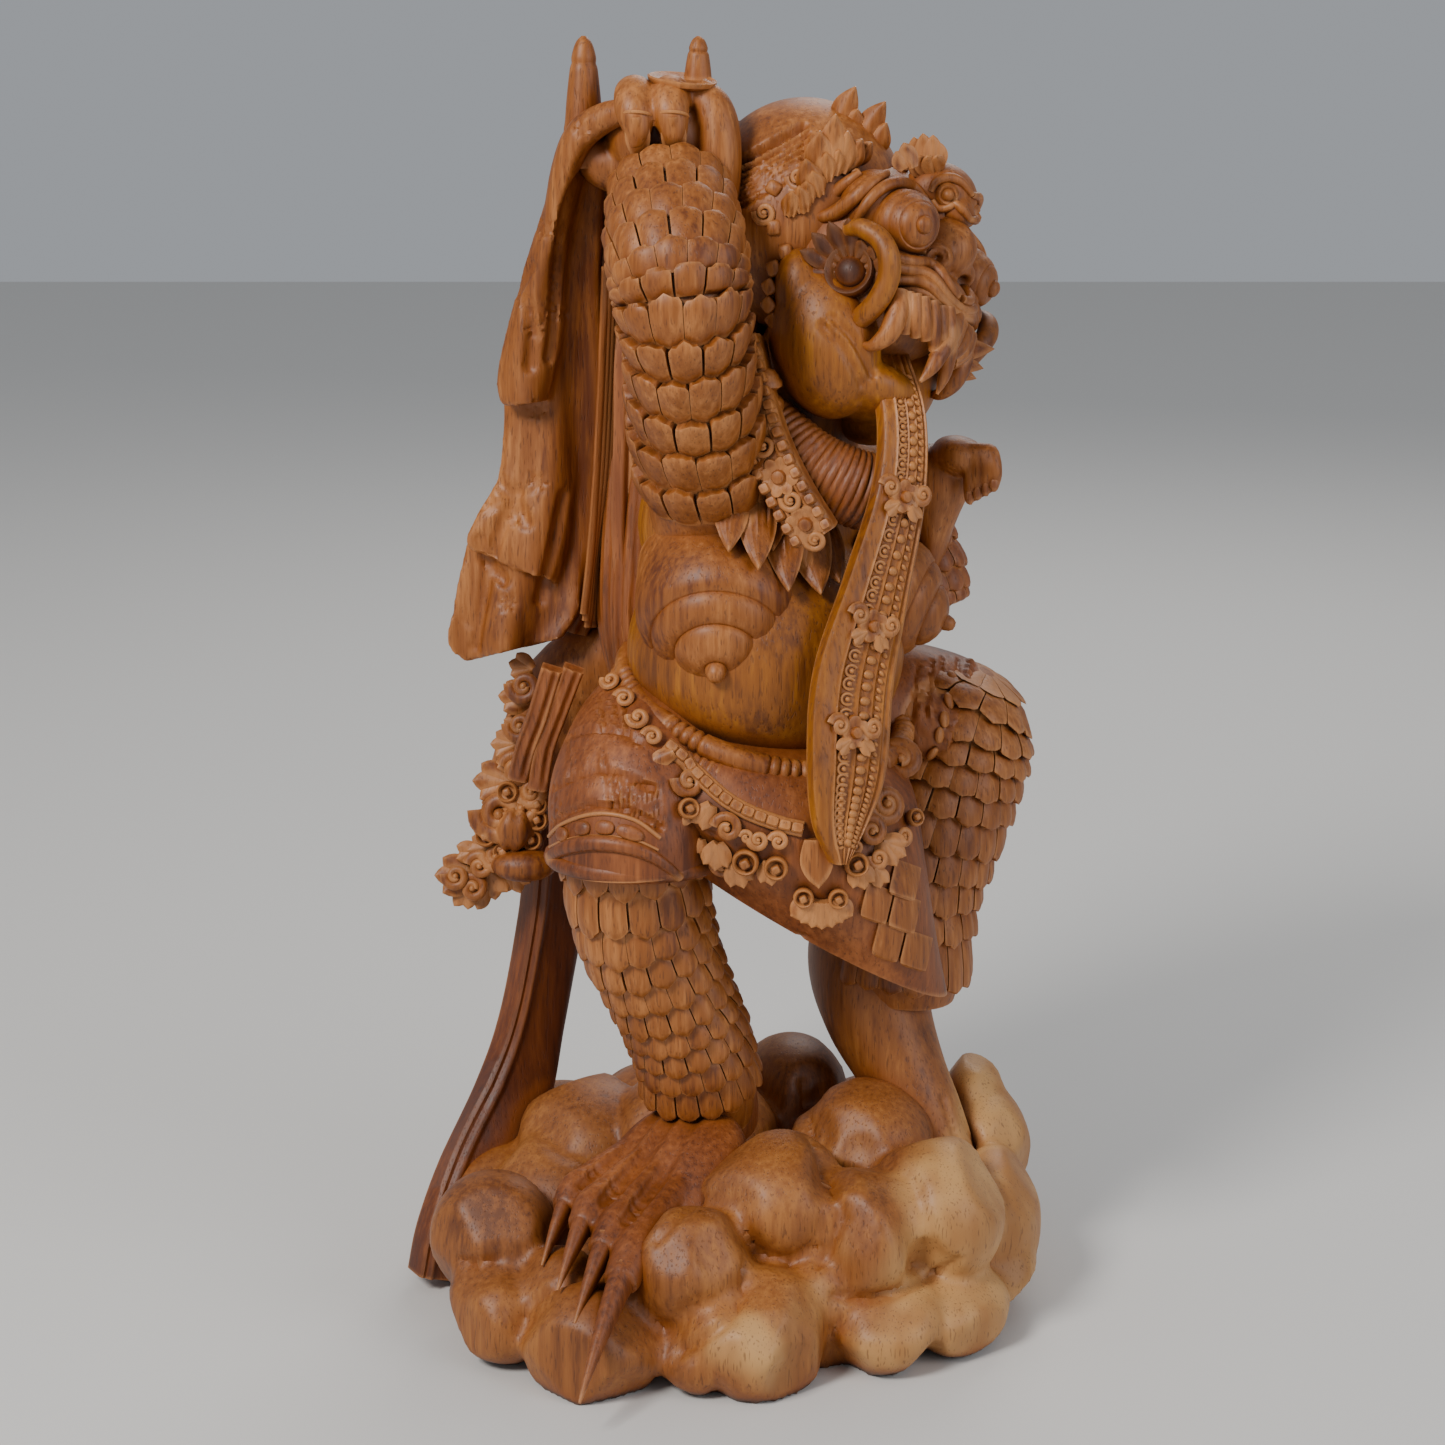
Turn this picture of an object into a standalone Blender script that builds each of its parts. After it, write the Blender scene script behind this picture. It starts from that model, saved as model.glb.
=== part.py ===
"""A carved wooden rangda statue: one block, the dancing figure and the rocks it stands on."""
import math

import bmesh
import bpy
from mathutils import Matrix, Vector

# Driving sizes, in metres.
FIGURE_HEIGHT = 0.364      # top of the rocks to the tip of the tallest nail
BASE_RADIUS = 0.110        # rocks, centre to outer edge
BASE_HEIGHT = 0.052        # rocks, floor to where the figure stands
NAIL_LENGTH = 0.040        # the two nails that stand up from the raised hand
CLAW_LENGTH = 0.036        # the longest toe claw
TONGUE_THICKNESS = 0.006   # the tongue that hangs down the front
CLOTH_THICKNESS = 0.009    # the cloth held in the raised hand
SCALE_LIP = 0.0016         # how far each row of scales stands out
BEAD_RADIUS = 0.0026       # beads of the neckpiece and tongue
CRUMB = 0.006              # anything apart and smaller than this is not a form

# The figure's pose and carving are shares of its height: one unit is a millimetre at this size.
UNIT = FIGURE_HEIGHT / 364.0
STAND = 52.0

# The figure turns to its left: where its front and its right side point.
FRONT = Vector((0.77, -0.64, 0.0)).normalized()
RIGHT = Vector((-0.64, -0.77, 0.0)).normalized()

# The head rolls towards its left shoulder.
HEAD_MIDDLE = Vector((42.0, 1.0, 344.0))
HEAD_FORWARD = Vector((0.813, -0.572, 0.110)).normalized()
HEAD_LEFT = Vector((0.550, 0.690, -0.470)).normalized()
HEAD_UP = HEAD_FORWARD.cross(HEAD_LEFT).normalized()


def at(x, y, z):
    """A place on the figure, in its own units."""
    return Vector((x * UNIT, y * UNIT, BASE_HEIGHT + (z - STAND) * UNIT))


def on_head(forward, left, up):
    """A place on the head, along its own three directions."""
    place = HEAD_MIDDLE + HEAD_FORWARD * forward + HEAD_LEFT * left + HEAD_UP * up
    return at(place.x, place.y, place.z)


def keep(name, mesh):
    """Put a mesh among the forms that are joined into the block."""
    form = bpy.data.objects.new(name, mesh)
    form.hide_render = True
    form.display_type = "WIRE"
    forms.objects.link(form)
    return form


def turn_to(along, across):
    """A turn whose Z is along, and whose X leans towards across."""
    axis = along.normalized()
    side = across - axis * across.dot(axis)
    side.normalize()
    other = axis.cross(side)
    return Matrix((side, other, axis)).transposed().to_4x4()


def ball(name, place, radii, along=Vector((0, 0, 1)), across=Vector((1, 0, 0)), around=10, rings=6):
    """An egg with its three radii in metres: across, the other way, and along."""
    bm = bmesh.new()
    bmesh.ops.create_uvsphere(bm, u_segments=around, v_segments=rings, radius=1.0)
    turn = Matrix.Translation(place) @ turn_to(along, across) @ Matrix.Diagonal((*radii, 1.0))
    bmesh.ops.transform(bm, matrix=turn, verts=bm.verts)
    mesh = bpy.data.meshes.new(name)
    bm.to_mesh(mesh)
    bm.free()
    return keep(name, mesh)


def egg(name, x, y, z, wide, deep, tall, along=Vector((0, 0, 1)), across=Vector((1, 0, 0)), around=10,
        rings=6):
    """An egg given in the figure's units."""
    return ball(name, at(x, y, z), (wide * UNIT, deep * UNIT, tall * UNIT), along, across, around, rings)


def block(name, place, sizes, along, across):
    """A small box with its three sizes in metres."""
    bm = bmesh.new()
    bmesh.ops.create_cube(bm, size=1.0)
    turn = Matrix.Translation(place) @ turn_to(along, across) @ Matrix.Diagonal((*sizes, 1.0))
    bmesh.ops.transform(bm, matrix=turn, verts=bm.verts)
    mesh = bpy.data.meshes.new(name)
    bm.to_mesh(mesh)
    bm.free()
    return keep(name, mesh)


def loft(name, rings):
    """A closed skin through rings of as many points each, with a point in the middle of both ends."""
    bm = bmesh.new()
    loops = []
    for ring in rings:
        loops.append([bm.verts.new(point) for point in ring])
    count = len(rings[0])
    for upper, lower in zip(loops[:-1], loops[1:]):
        for i in range(count):
            j = (i + 1) % count
            bm.faces.new((upper[i], upper[j], lower[j], lower[i]))
    for loop, turned_round in ((loops[0], True), (loops[-1], False)):
        middle = Vector((0, 0, 0))
        for vert in loop:
            middle += vert.co / count
        centre = bm.verts.new(middle)
        for i in range(count):
            j = (i + 1) % count
            corner = (centre, loop[j], loop[i]) if turned_round else (centre, loop[i], loop[j])
            bm.faces.new(corner)
    bmesh.ops.recalc_face_normals(bm, faces=bm.faces)
    mesh = bpy.data.meshes.new(name)
    bm.to_mesh(mesh)
    bm.free()
    return keep(name, mesh)


def between(stations, steps):
    """Smooth stations, with some steps between each two of those given."""
    last = len(stations) - 1
    result = []
    for i in range(last):
        before = stations[max(i - 1, 0)]
        start = stations[i]
        end = stations[i + 1]
        after = stations[min(i + 2, last)]
        for step in range(steps):
            t = step / steps
            row = []
            for a, b, c, d in zip(before, start, end, after):
                bend = (c - a) * t + (2 * a - 5 * b + 4 * c - d) * t * t + (3 * b - a - 3 * c + d) * t ** 3
                row.append(b + 0.5 * bend)
            result.append(tuple(row))
    result.append(tuple(stations[last]))
    return result


def frames(stations, across):
    """For each station its place, its two half widths, and the two ways square to the path."""
    places = [at(*row[:3]) for row in stations]
    result = []
    last = len(places) - 1
    for i, row in enumerate(stations):
        along = (places[min(i + 1, last)] - places[max(i - 1, 0)]).normalized()
        side = across - along * across.dot(along)
        side.normalize()
        other = along.cross(side)
        result.append((places[i], row[3] * UNIT, row[4] * UNIT, side, other, along))
    return result


def limb(name, stations, across=Vector((1, 0, 0)), around=8, steps=1, lobes=0, depth=0.0):
    """A round form along a path: x, y, z, half width across and half width the other way."""
    rings = []
    for place, wide, deep, side, other, along in frames(between(stations, steps), across):
        ring = []
        for i in range(around):
            angle = 2 * math.pi * i / around
            swell = 1.0 + depth * math.cos(lobes * angle)
            ring.append(place + side * wide * swell * math.cos(angle) + other * deep * swell * math.sin(angle))
        rings.append(ring)
    return loft(name, rings)


def strap(name, stations, across, thickness, steps=2):
    """A flat band along a path, rounded on its two edges: x, y, z, half width, and nothing."""
    rings = []
    for place, wide, deep, side, other, along in frames(between(stations, steps), across):
        half = thickness / 2
        ring = []
        for share, height in ((-1, -0.4), (-0.8, -1), (0.8, -1), (1, -0.4), (1, 0.4), (0.8, 1), (0, 1.25),
                              (-0.8, 1), (-1, 0.4)):
            ring.append(place + side * wide * share + other * half * height)
        rings.append(ring)
    return loft(name, rings)


def scaled_limb(name, stations, rows, scales, across=Vector((1, 0, 0))):
    """A limb covered in rows of scales: each row widens to a lip with round ends and steps back in."""
    path = frames(between(stations, 8), across)
    last = len(path) - 1
    points = scales * 2
    rings = []
    for row in range(rows):
        for share, lip, drop in ((0.0, -0.35, 0.0), (0.93, 1.0, 1.0)):
            place, wide, deep, side, other, along = path[min(last, round((row + share) / rows * last))]
            pitch = (path[-1][0] - path[0][0]).length / rows
            ring = []
            for i in range(points):
                angle = 2 * math.pi * i / points
                tip = (i + row) % 2
                grow = lip * SCALE_LIP * (1.0 if tip or lip < 0 else 0.55)
                low = along * drop * pitch * (0.14 if tip else -0.14)
                round_part = side * (wide + grow) * math.cos(angle) + other * (deep + grow) * math.sin(angle)
                ring.append(place + round_part + low)
            rings.append(ring)
    return loft(name, rings)


def spike(name, start, lean, length, wide, thin, bend=Vector((0, 0, 0)), across=Vector((1, 0, 0)), around=5):
    """A claw, nail, tooth or leaf: it tapers from its root to a point, and may bend on the way."""
    direction = lean.normalized()
    rings = []
    for share, size in ((0.0, 0.9), (0.45, 0.95), (1.0, 0.14)):
        place = start + direction * length * share + bend * length * share * share
        along = (direction + bend * 2 * share).normalized()
        side = across - along * across.dot(along)
        side.normalize()
        other = along.cross(side)
        ring = []
        for i in range(around):
            angle = 2 * math.pi * i / around
            ring.append(place + side * wide * size * math.cos(angle) + other * thin * size * math.sin(angle))
        rings.append(ring)
    return loft(name, rings)


def turned(name, place, along, profile, around=12):
    """A turned form: a profile of radius and height in units, from its top down, spun about its axis."""
    mesh = bpy.data.meshes.new(name)
    corners = [(radius * UNIT, 0.0, height * UNIT) for radius, height in profile]
    mesh.from_pydata(corners, [(i, i + 1) for i in range(len(corners) - 1)], [])
    piece = bpy.data.objects.new(name, mesh)
    forms.objects.link(piece)
    spin = piece.modifiers.new("spin", "SCREW")
    spin.steps = around
    spin.render_steps = around
    spin.use_merge_vertices = True
    spin.merge_threshold = 0.00001
    spun = bpy.data.meshes.new_from_object(piece.evaluated_get(bpy.context.evaluated_depsgraph_get()))
    bpy.data.objects.remove(piece)
    across = Vector((1, 0, 0)) if abs(along.normalized().x) < 0.9 else Vector((0, 1, 0))
    spun.transform(Matrix.Translation(place) @ turn_to(along, across))
    bm = bmesh.new()
    bm.from_mesh(spun)
    bmesh.ops.remove_doubles(bm, verts=bm.verts, dist=0.00001)
    bmesh.ops.recalc_face_normals(bm, faces=bm.faces)
    bm.to_mesh(spun)
    bm.free()
    return keep(name, spun)


def hoop(name, place, along, across, wide, deep, thick, turns=(0.0, 1.0), steps=14, around=5):
    """A ring, or part of one, around the axis along; its radii are in units."""
    turn = turn_to(along, across)
    whole = turns[1] - turns[0] >= 1.0
    rings = []
    for step in range(steps + (0 if whole else 1)):
        angle = 2 * math.pi * (turns[0] + (turns[1] - turns[0]) * step / steps)
        out = Vector((math.cos(angle) * wide, math.sin(angle) * deep, 0.0))
        way = out.normalized()
        ring = []
        for i in range(around):
            tilt = 2 * math.pi * i / around
            spot = out + way * thick * math.cos(tilt) + Vector((0, 0, 1)) * thick * math.sin(tilt)
            ring.append(place + turn @ (spot * UNIT))
        rings.append(ring)
    if not whole:
        return loft(name, rings)
    bm = bmesh.new()
    loops = [[bm.verts.new(point) for point in ring] for ring in rings]
    for a in range(steps):
        b = (a + 1) % steps
        for i in range(around):
            j = (i + 1) % around
            bm.faces.new((loops[a][i], loops[a][j], loops[b][j], loops[b][i]))
    bmesh.ops.recalc_face_normals(bm, faces=bm.faces)
    mesh = bpy.data.meshes.new(name)
    bm.to_mesh(mesh)
    bm.free()
    return keep(name, mesh)


def rosette(name, place, out, radius, petals=5):
    """A small flower: a low dome with a notched edge."""
    turn = turn_to(out, Vector((0.3, 0.2, 1.0)))
    rings = []
    for share, height in ((1.0, -0.8), (1.0, 0.2), (0.4, 0.7)):
        ring = []
        for i in range(petals * 2):
            angle = math.pi * i / petals
            reach = radius * share * (1.0 if i % 2 else 0.74)
            ring.append(place + turn @ (Vector((reach * math.cos(angle), reach * math.sin(angle),
                                                height * radius)) * UNIT))
        rings.append(ring)
    return loft(name, rings)


def make_rocks():
    """The rounded rocks: an outer ring and an upper ring about a low middle."""
    outer = (
        (-152, 0.68, 0.34, 0.28, 0.34, 0.56),
        (-128, 0.66, 0.20, 0.26, 0.22, 0.50),
        (-110, 0.74, 0.12, 0.24, 0.30, 0.54),
        (-80, 0.70, 0.18, 0.27, 0.31, 0.52),
        (-46, 0.68, 0.10, 0.28, 0.29, 0.38),
        (-14, 0.70, 0.24, 0.24, 0.27, 0.50),
        (14, 0.72, 0.26, 0.25, 0.27, 0.56),
        (43, 0.73, 0.36, 0.27, 0.30, 0.58),
        (76, 0.72, 0.38, 0.27, 0.28, 0.62),
        (107, 0.70, 0.30, 0.28, 0.31, 0.60),
        (139, 0.72, 0.34, 0.28, 0.29, 0.58),
        (172, 0.70, 0.26, 0.28, 0.28, 0.56),
    )
    upper = (
        (-96, 0.56, 0.38, 0.17, 0.24, 0.42),
        (-66, 0.36, 0.50, 0.23, 0.30, 0.46),
        (-27, 0.52, 0.42, 0.24, 0.32, 0.56),
        (24, 0.44, 0.56, 0.24, 0.30, 0.48),
        (66, 0.42, 0.66, 0.24, 0.28, 0.48),
        (112, 0.44, 0.62, 0.26, 0.28, 0.50),
        (158, 0.42, 0.56, 0.26, 0.30, 0.46),
        (-148, 0.40, 0.42, 0.27, 0.30, 0.48),
    )
    core = ball("rock_core", Vector((0, 0, 0.12 * BASE_HEIGHT)),
                (0.78 * BASE_RADIUS, 0.78 * BASE_RADIUS, 0.80 * BASE_HEIGHT),
                around=16, rings=8)
    for ring_name, ring in (("outer", outer), ("upper", upper)):
        for number, (angle, reach, rise, wide, deep, tall) in enumerate(ring):
            way = Vector((math.cos(math.radians(angle)), math.sin(math.radians(angle)), 0.0))
            place = way * reach * BASE_RADIUS + Vector((0, 0, rise * BASE_HEIGHT))
            lean = Vector((0, 0, 1)) + way * 0.25
            ball(f"rock_{ring_name}_{number}", place,
                 (deep * BASE_RADIUS, wide * BASE_RADIUS, tall * BASE_HEIGHT),
                 along=lean, across=way, around=12, rings=6)
    return core


def make_near_leg():
    """The right leg: a scaled shin and a bare foot with four long claws."""
    scaled_limb("near_shin", [
        (-28, -40, 176, 23, 23),
        (-28, -38, 158, 22.5, 22.5),
        (-25, -34, 136, 21.5, 21),
        (-18, -28, 115, 19.5, 19),
        (-11, -21, 94, 19, 18.5),
        (-7, -14, 74, 19, 18),
        (-6, -11, 63, 18.5, 17.5),
    ], rows=11, scales=10)
    limb("near_heel", [(-5, -8, 74, 16, 15), (-5, -9, 62, 17, 17), (-6, -10, 48, 15, 15), (-6, -12, 36, 11,
        11)], around=10)
    egg("near_instep", -17, -38, 50, 24, 30, 13, along=Vector((-0.35, -0.55, 1)),
        across=Vector((0.8, -0.5, 0)))
    toes = (
        ((-12, -46, 53), (-27, -76, 43), (-32, -89, 37), 7.0, 1.0),
        ((-20, -42, 55), (-33, -66, 47), (-38, -77, 42), 6.4, 0.62),
        ((-27, -37, 56), (-41, -58, 50), (-45, -67, 46), 6.0, 0.56),
        ((-31, -29, 56), (-47, -47, 51), (-51, -55, 47), 5.6, 0.50),
    )
    for number, (root, knuckle, tip, size, share) in enumerate(toes):
        limb(f"near_toe_{number}", [
            (*root, size * 0.9, size * 0.9),
            (*knuckle, size, size * 1.05),
            (*tip, size * 0.8, size * 0.75),
        ], around=8, steps=2)
        way = at(*tip) - at(*knuckle)
        start = at(*tip) - way * 0.3
        spike(f"near_claw_{number}", start, way + Vector((0, -0.002, -0.001)), CLAW_LENGTH * share,
              4.4 * UNIT, 3.8 * UNIT,
              bend=Vector((-0.02, -0.05, -0.22)))


def make_far_leg():
    """The left leg: a scaled cuff from the raised knee, then a bare calf and foot down the rocks."""
    limb("far_thigh", [(28, 18, 192, 28, 28), (54, 22, 190, 28, 27), (78, 26, 186, 25, 25)],
         across=Vector((0, 1, 0)), around=12)
    scaled_limb("far_cuff", [
        (88, 24, 206, 6, 8),
        (86, 24, 202, 16, 19),
        (81, 23, 193, 23, 26),
        (76, 22, 180, 26, 28),
        (69, 21, 158, 26, 28),
        (62, 20, 132, 24, 26),
        (60, 19, 106, 23, 24),
        (59, 19, 96, 22, 22),
    ], rows=9, scales=12)
    limb("far_calf", [
        (54, 26, 128, 20, 22),
        (50, 24, 106, 21, 23),
        (53, 18, 88, 18.5, 21),
        (61, 10, 70, 15, 17),
        (67, 4, 56, 14.5, 15),
        (72, -1, 42, 14, 12),
        (77, -8, 28, 11, 9),
        (79, -14, 16, 7, 6),
    ], around=10)


def make_body():
    """Hips, belly, chest and breasts."""
    egg("hips", 12, 8, 190, 47, 42, 34, across=RIGHT, around=14)
    egg("belly", 14, -11, 222, 47, 43, 42, across=RIGHT, around=16, rings=9)
    egg("chest", 13, 8, 262, 46, 33, 38, across=RIGHT, around=14, rings=8)
    limb("neck", [(14, 10, 268, 34, 28), (20, 2, 290, 25, 24), (30, -2, 312, 20, 20), (36, 0, 330, 18, 18)],
         across=RIGHT)
    breasts = (
        ("near_breast", (-1, -26, 247), (-0.03, -0.86, -0.62), 1.0),
        ("far_breast", (45, 0, 240), (0.93, -0.22, -0.36), 0.80),
    )
    for name, place, way, size in breasts:
        profile = [(0.0, 41), (2.6, 39.5), (3.4, 36), (12.5, 31), (14, 28), (19.5, 26), (21, 22.5),
                   (25.5, 16), (26, -6),
                   (0.0, -14)]
        turned(name, at(*place), Vector(way), [(r * size, h * size) for r, h in profile], around=14)
    shoulders = ((-2, -16, 264, 25, 24, 26), (44, 26, 262, 20, 22, 24))
    for number, (x, y, z, wide, deep, tall) in enumerate(shoulders):
        egg(f"shoulder_{number}", x, y, z, wide, deep, tall)
    for number in range(6):
        share = number / 5
        spot = Vector((-8, -40, 272)).lerp(Vector((28, -45, 262)), share)
        spike(f"chest_tuft_{number}", at(spot.x, spot.y + 5, spot.z + 6), Vector((0.25, -0.35, -1)),
              26 * UNIT, 6.5 * UNIT,
              5.5 * UNIT)


def make_arms():
    """The right arm raised with its forearm folded back, and the left arm bent at the wrist."""
    scaled_limb("near_upper_arm", [
        (-2, -20, 258, 23, 21),
        (-4, -30, 278, 22.5, 21),
        (-8, -42, 300, 21, 20.5),
        (-10, -56, 324, 19.5, 20),
        (-11, -64, 340, 19.5, 19),
    ][::-1], rows=7, scales=10)
    scaled_limb("near_forearm", [
        (-17, -12, 374, 16, 14),
        (-16, -24, 366, 19, 16),
        (-14, -40, 357, 20.5, 17),
        (-12, -54, 348, 21, 18),
        (-11, -64, 338, 19.5, 18),
    ], rows=5, scales=10)
    egg("elbow", -11, -63, 342, 19, 18, 18)
    scaled_limb("far_upper_arm", [
        (44, 30, 274, 15, 16),
        (54, 29, 262, 14.5, 16),
        (64, 26, 248, 13, 14),
        (70, 23, 236, 11, 12),
        (72, 22, 229, 8, 8),
    ], rows=6, scales=9)
    limb("far_forearm", [
        (70, 21, 229, 9, 9),
        (70, 17, 246, 8.5, 10),
        (67, 14, 262, 8.5, 12),
        (66, 12, 276, 8.5, 12),
        (69, 11, 285, 7.5, 11),
        (76, 10, 288, 5, 10),
    ])
    for number in range(4):
        shift = 4.6 * number
        limb(f"far_finger_{number}", [
            (70, 3 + shift, 287, 3.4, 3.4),
            (79, 2 + shift, 287 - number, 3.8, 3.8),
            (85, 1 + shift, 279 - number, 3.4, 3.4),
            (87, 1 + shift, 268 - number, 2.0, 2.0),
        ], across=Vector((0, 1, 0)), around=6)


def make_raised_hand():
    """The fist that holds the cloth, with curled fingers and two long nails standing up."""
    egg("fist", -18, -5, 384, 18, 14, 15)
    limb("thumb", [(-3, -12, 364, 7, 8), (-1, -14, 380, 7, 7.5), (-3, -13, 392, 6.5, 6.5), (-9, -12, 399, 4.5,
        4.5)])
    for number, x in enumerate((-27, -16)):
        limb(f"curled_finger_{number}", [
            (x, -4, 393, 5.5, 5.5),
            (x, -14, 397, 6.2, 6.0),
            (x, -20, 393, 6.0, 5.6),
            (x + 1, -22, 387, 4.6, 4.4),
            (x + 1, -22, 379, 1.6, 1.6),
        ])
    egg("curled_shell", -15, -9, 400, 10.5, 9, 2.6, along=Vector((0.1, -0.35, 1)), around=10, rings=5)
    nails = (("tall_nail", (-43.5, -1, 376), (0.0, 0.0, 1.0), 1.0, 6.0),
             ("short_nail", (-8, -3, 392), (0.0, 0.0, 1.0), 0.55, 4.4))
    for name, place, way, share, size in nails:
        spike(name, at(*place), Vector(way), NAIL_LENGTH * share, size * UNIT, size * UNIT, around=8)
    limb("nail_finger", [(-26, -2, 372, 8, 8), (-36, -1, 375, 8, 8), (-42, -1, 382, 6.5, 6.5)])
    limb("short_finger", [(-10, -4, 384, 6, 6), (-8, -3, 397, 5, 5)])


def make_head():
    """The demon head: hair dome, bulging eyes, nose, jaws, fangs, tusk rings, ear plugs and flames."""
    egg("hair_dome", 25, 9, 358, 33, 33, 36, along=Vector((0.12, 0.2, 1)), around=14, rings=8)
    ball("mask", on_head(4, 3, -2), (30 * UNIT, 34 * UNIT, 35 * UNIT), along=HEAD_UP, across=HEAD_FORWARD,
         around=12, rings=7)
    ball("muzzle", on_head(27, 3, -13), (13 * UNIT, 19 * UNIT, 10 * UNIT), along=HEAD_UP, across=HEAD_FORWARD)
    ball("nose", on_head(30, 2.5, 4), (11 * UNIT, 10 * UNIT, 10 * UNIT), along=HEAD_UP, across=HEAD_FORWARD,
         around=12, rings=8)
    ball("small_face", on_head(25, 2.5, 22), (11 * UNIT, 13 * UNIT, 11 * UNIT), along=HEAD_UP,
         across=HEAD_FORWARD, around=12, rings=7)
    for side in (-1, 1):
        ball(f"nostril_{side + 1}", on_head(33, 2.5 + side * 7, -2), (5.5 * UNIT, 5 * UNIT, 5 * UNIT),
             along=HEAD_UP,
             across=HEAD_FORWARD, around=8, rings=5)
        eye = (HEAD_FORWARD + HEAD_LEFT * side * 0.62).normalized()
        turned(f"eye_{side + 1}", on_head(24, 2 + side * 19, 2), eye,
               [(0.0, 14.5), (2.6, 13.8), (3.0, 12.4), (6.4, 10.6), (9.4, 5.0), (9.0, -6.0), (0.0, -8.0)],
               around=10)
        brow = []
        for share in (0.0, 0.2, 0.4, 0.6, 0.8, 1.0):
            angle = math.radians(-12 + 150 * share)
            forward = 34 - 20 * share ** 1.5
            brow.append((forward, 3 + side * (7 + 27 * share), 5 + 12 * math.sin(angle), 3.2, 5.5))
        stations = []
        for forward, left, up, wide, deep in brow:
            place = HEAD_MIDDLE + HEAD_FORWARD * forward + HEAD_LEFT * left + HEAD_UP * up
            stations.append((place.x, place.y, place.z, wide, deep))
        limb(f"brow_{side + 1}", stations, across=HEAD_UP, around=8, steps=2)
        for step in range(4):
            share = step / 3
            root = on_head(26 - 20 * share, 2 + side * (10 + 22 * share), 15 - 8 * share)
            lean = HEAD_UP * (1.0 - 0.5 * share) + HEAD_LEFT * side * (0.15 + 0.6 * share) - HEAD_FORWARD * 0.25
            spike(f"brow_flame_{side + 1}_{step}", root, lean, (19 - 5 * share) * UNIT, 6.0 * UNIT,
                  3.4 * UNIT,
                  across=HEAD_FORWARD, around=4)
        for step in range(3 if side < 0 else 1):
            ridge = []
            for way in (0.0, 0.5, 1.0):
                ridge.append(HEAD_MIDDLE + HEAD_FORWARD * (35 - 9 * way)
                             + HEAD_LEFT * (3 + side * (10 + 18 * way))
                             + HEAD_UP * (-10 - 4.6 * step + 5 * way * (1 - way) + 3 * way))
            limb(f"cheek_ridge_{side + 1}_{step}", [(p.x, p.y, p.z, 2.6, 3.4) for p in ridge], across=HEAD_UP,
                 around=6)
        hoop(f"tusk_ring_{side + 1}", on_head(21, 2 + side * (27 if side < 0 else 23), -19),
             HEAD_LEFT * side + HEAD_FORWARD * 0.75, HEAD_FORWARD, 10.5,
             15, 2.8, turns=(-0.30, 0.30), steps=7)
        plug = HEAD_LEFT * side + HEAD_FORWARD * 0.35
        turned(f"ear_plug_{side + 1}", on_head(11, 2 + side * 25, -16), plug,
               [(0.0, 11.0), (3.8, 10.0), (4.5, 7.5), (10.0, 8.5), (11.0, 4.0), (6.0, -6.0), (0.0, -8.0)],
               around=10)
        spike(f"corner_fang_{side + 1}", on_head(30, 3 + side * 17, -22), HEAD_UP * -1 + HEAD_FORWARD * 0.4,
              15 * UNIT, 3.4 * UNIT,
              3.2 * UNIT, bend=HEAD_LEFT * side * 0.3 - HEAD_FORWARD * 0.4, across=HEAD_LEFT)
        spike(f"front_fang_{side + 1}", on_head(35, 3 + side * 5, -16), HEAD_UP * -1 + HEAD_FORWARD * 0.05,
              (29 if side > 0 else 22) * UNIT, 4.2 * UNIT, 3.4 * UNIT, across=HEAD_LEFT)
        for step in range(2):
            spike(f"cheek_flame_{side + 1}_{step}",
                  on_head(17 - 5 * step, 2 + side * (27 if side < 0 else 19), -25 + 2 * step),
                  HEAD_LEFT * side * (1.0 + 0.1 * step) + HEAD_UP * (0.35 * step - 0.5), 15 * UNIT, 5 * UNIT,
                  3 * UNIT,
                  across=HEAD_UP, around=4)
    for number in range(5):
        left = -7 + 5 * number
        block(f"tooth_{number}", on_head(33 - 0.12 * (left - 3) ** 2 / 4, left, -22),
              (4.6 * UNIT, 4.4 * UNIT, 9 * UNIT), HEAD_UP,
              HEAD_FORWARD)
    ball("near_jaw", on_head(5, -15, -33), (18 * UNIT, 15 * UNIT, 24 * UNIT),
         along=HEAD_UP + HEAD_LEFT * -0.5 - HEAD_FORWARD * 0.2,
         across=HEAD_FORWARD)
    ball("far_jaw", on_head(7, 20, -31), (16 * UNIT, 13 * UNIT, 18 * UNIT), along=HEAD_UP + HEAD_LEFT * 0.4,
         across=HEAD_FORWARD)
    ball("chin", on_head(12, 4, -43), (16 * UNIT, 18 * UNIT, 9 * UNIT), along=HEAD_UP, across=HEAD_FORWARD)
    lip = []
    for share in (-1.0, -0.6, 0.0, 0.6, 1.0):
        place = (HEAD_MIDDLE + HEAD_FORWARD * (25 - 14 * share * share)
                 + HEAD_LEFT * (3 + 21 * share)
                 + HEAD_UP * (-42 + 17 * share * share))
        lip.append((place.x, place.y, place.z, 3.4, 3.4))
    limb("lower_lip", lip, across=HEAD_UP, around=6)
    for number in range(5):
        side = number - 2
        spike(f"crest_leaf_{number}", on_head(18, 2.5 + side * 4.0, 29),
              HEAD_UP + HEAD_LEFT * side * 0.3 + HEAD_FORWARD * 0.1,
              (15 - abs(side) * 2) * UNIT, 4.5 * UNIT, 3.4 * UNIT, across=HEAD_LEFT, around=4)
    for number, (x, y, z, length) in enumerate(((38, 4, 379, 18), (47, 2, 375, 18), (48, -8, 368, 18))):
        spike(f"crown_spike_{number}", at(x, y, z), Vector((0.30, 0.0, 1.0)), length * UNIT, 4.6 * UNIT,
              3.6 * UNIT)
    for number in range(8):
        share = number / 7
        spot = Vector((15, -14, 366)).lerp(Vector((15, -23, 326)), share)
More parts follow.
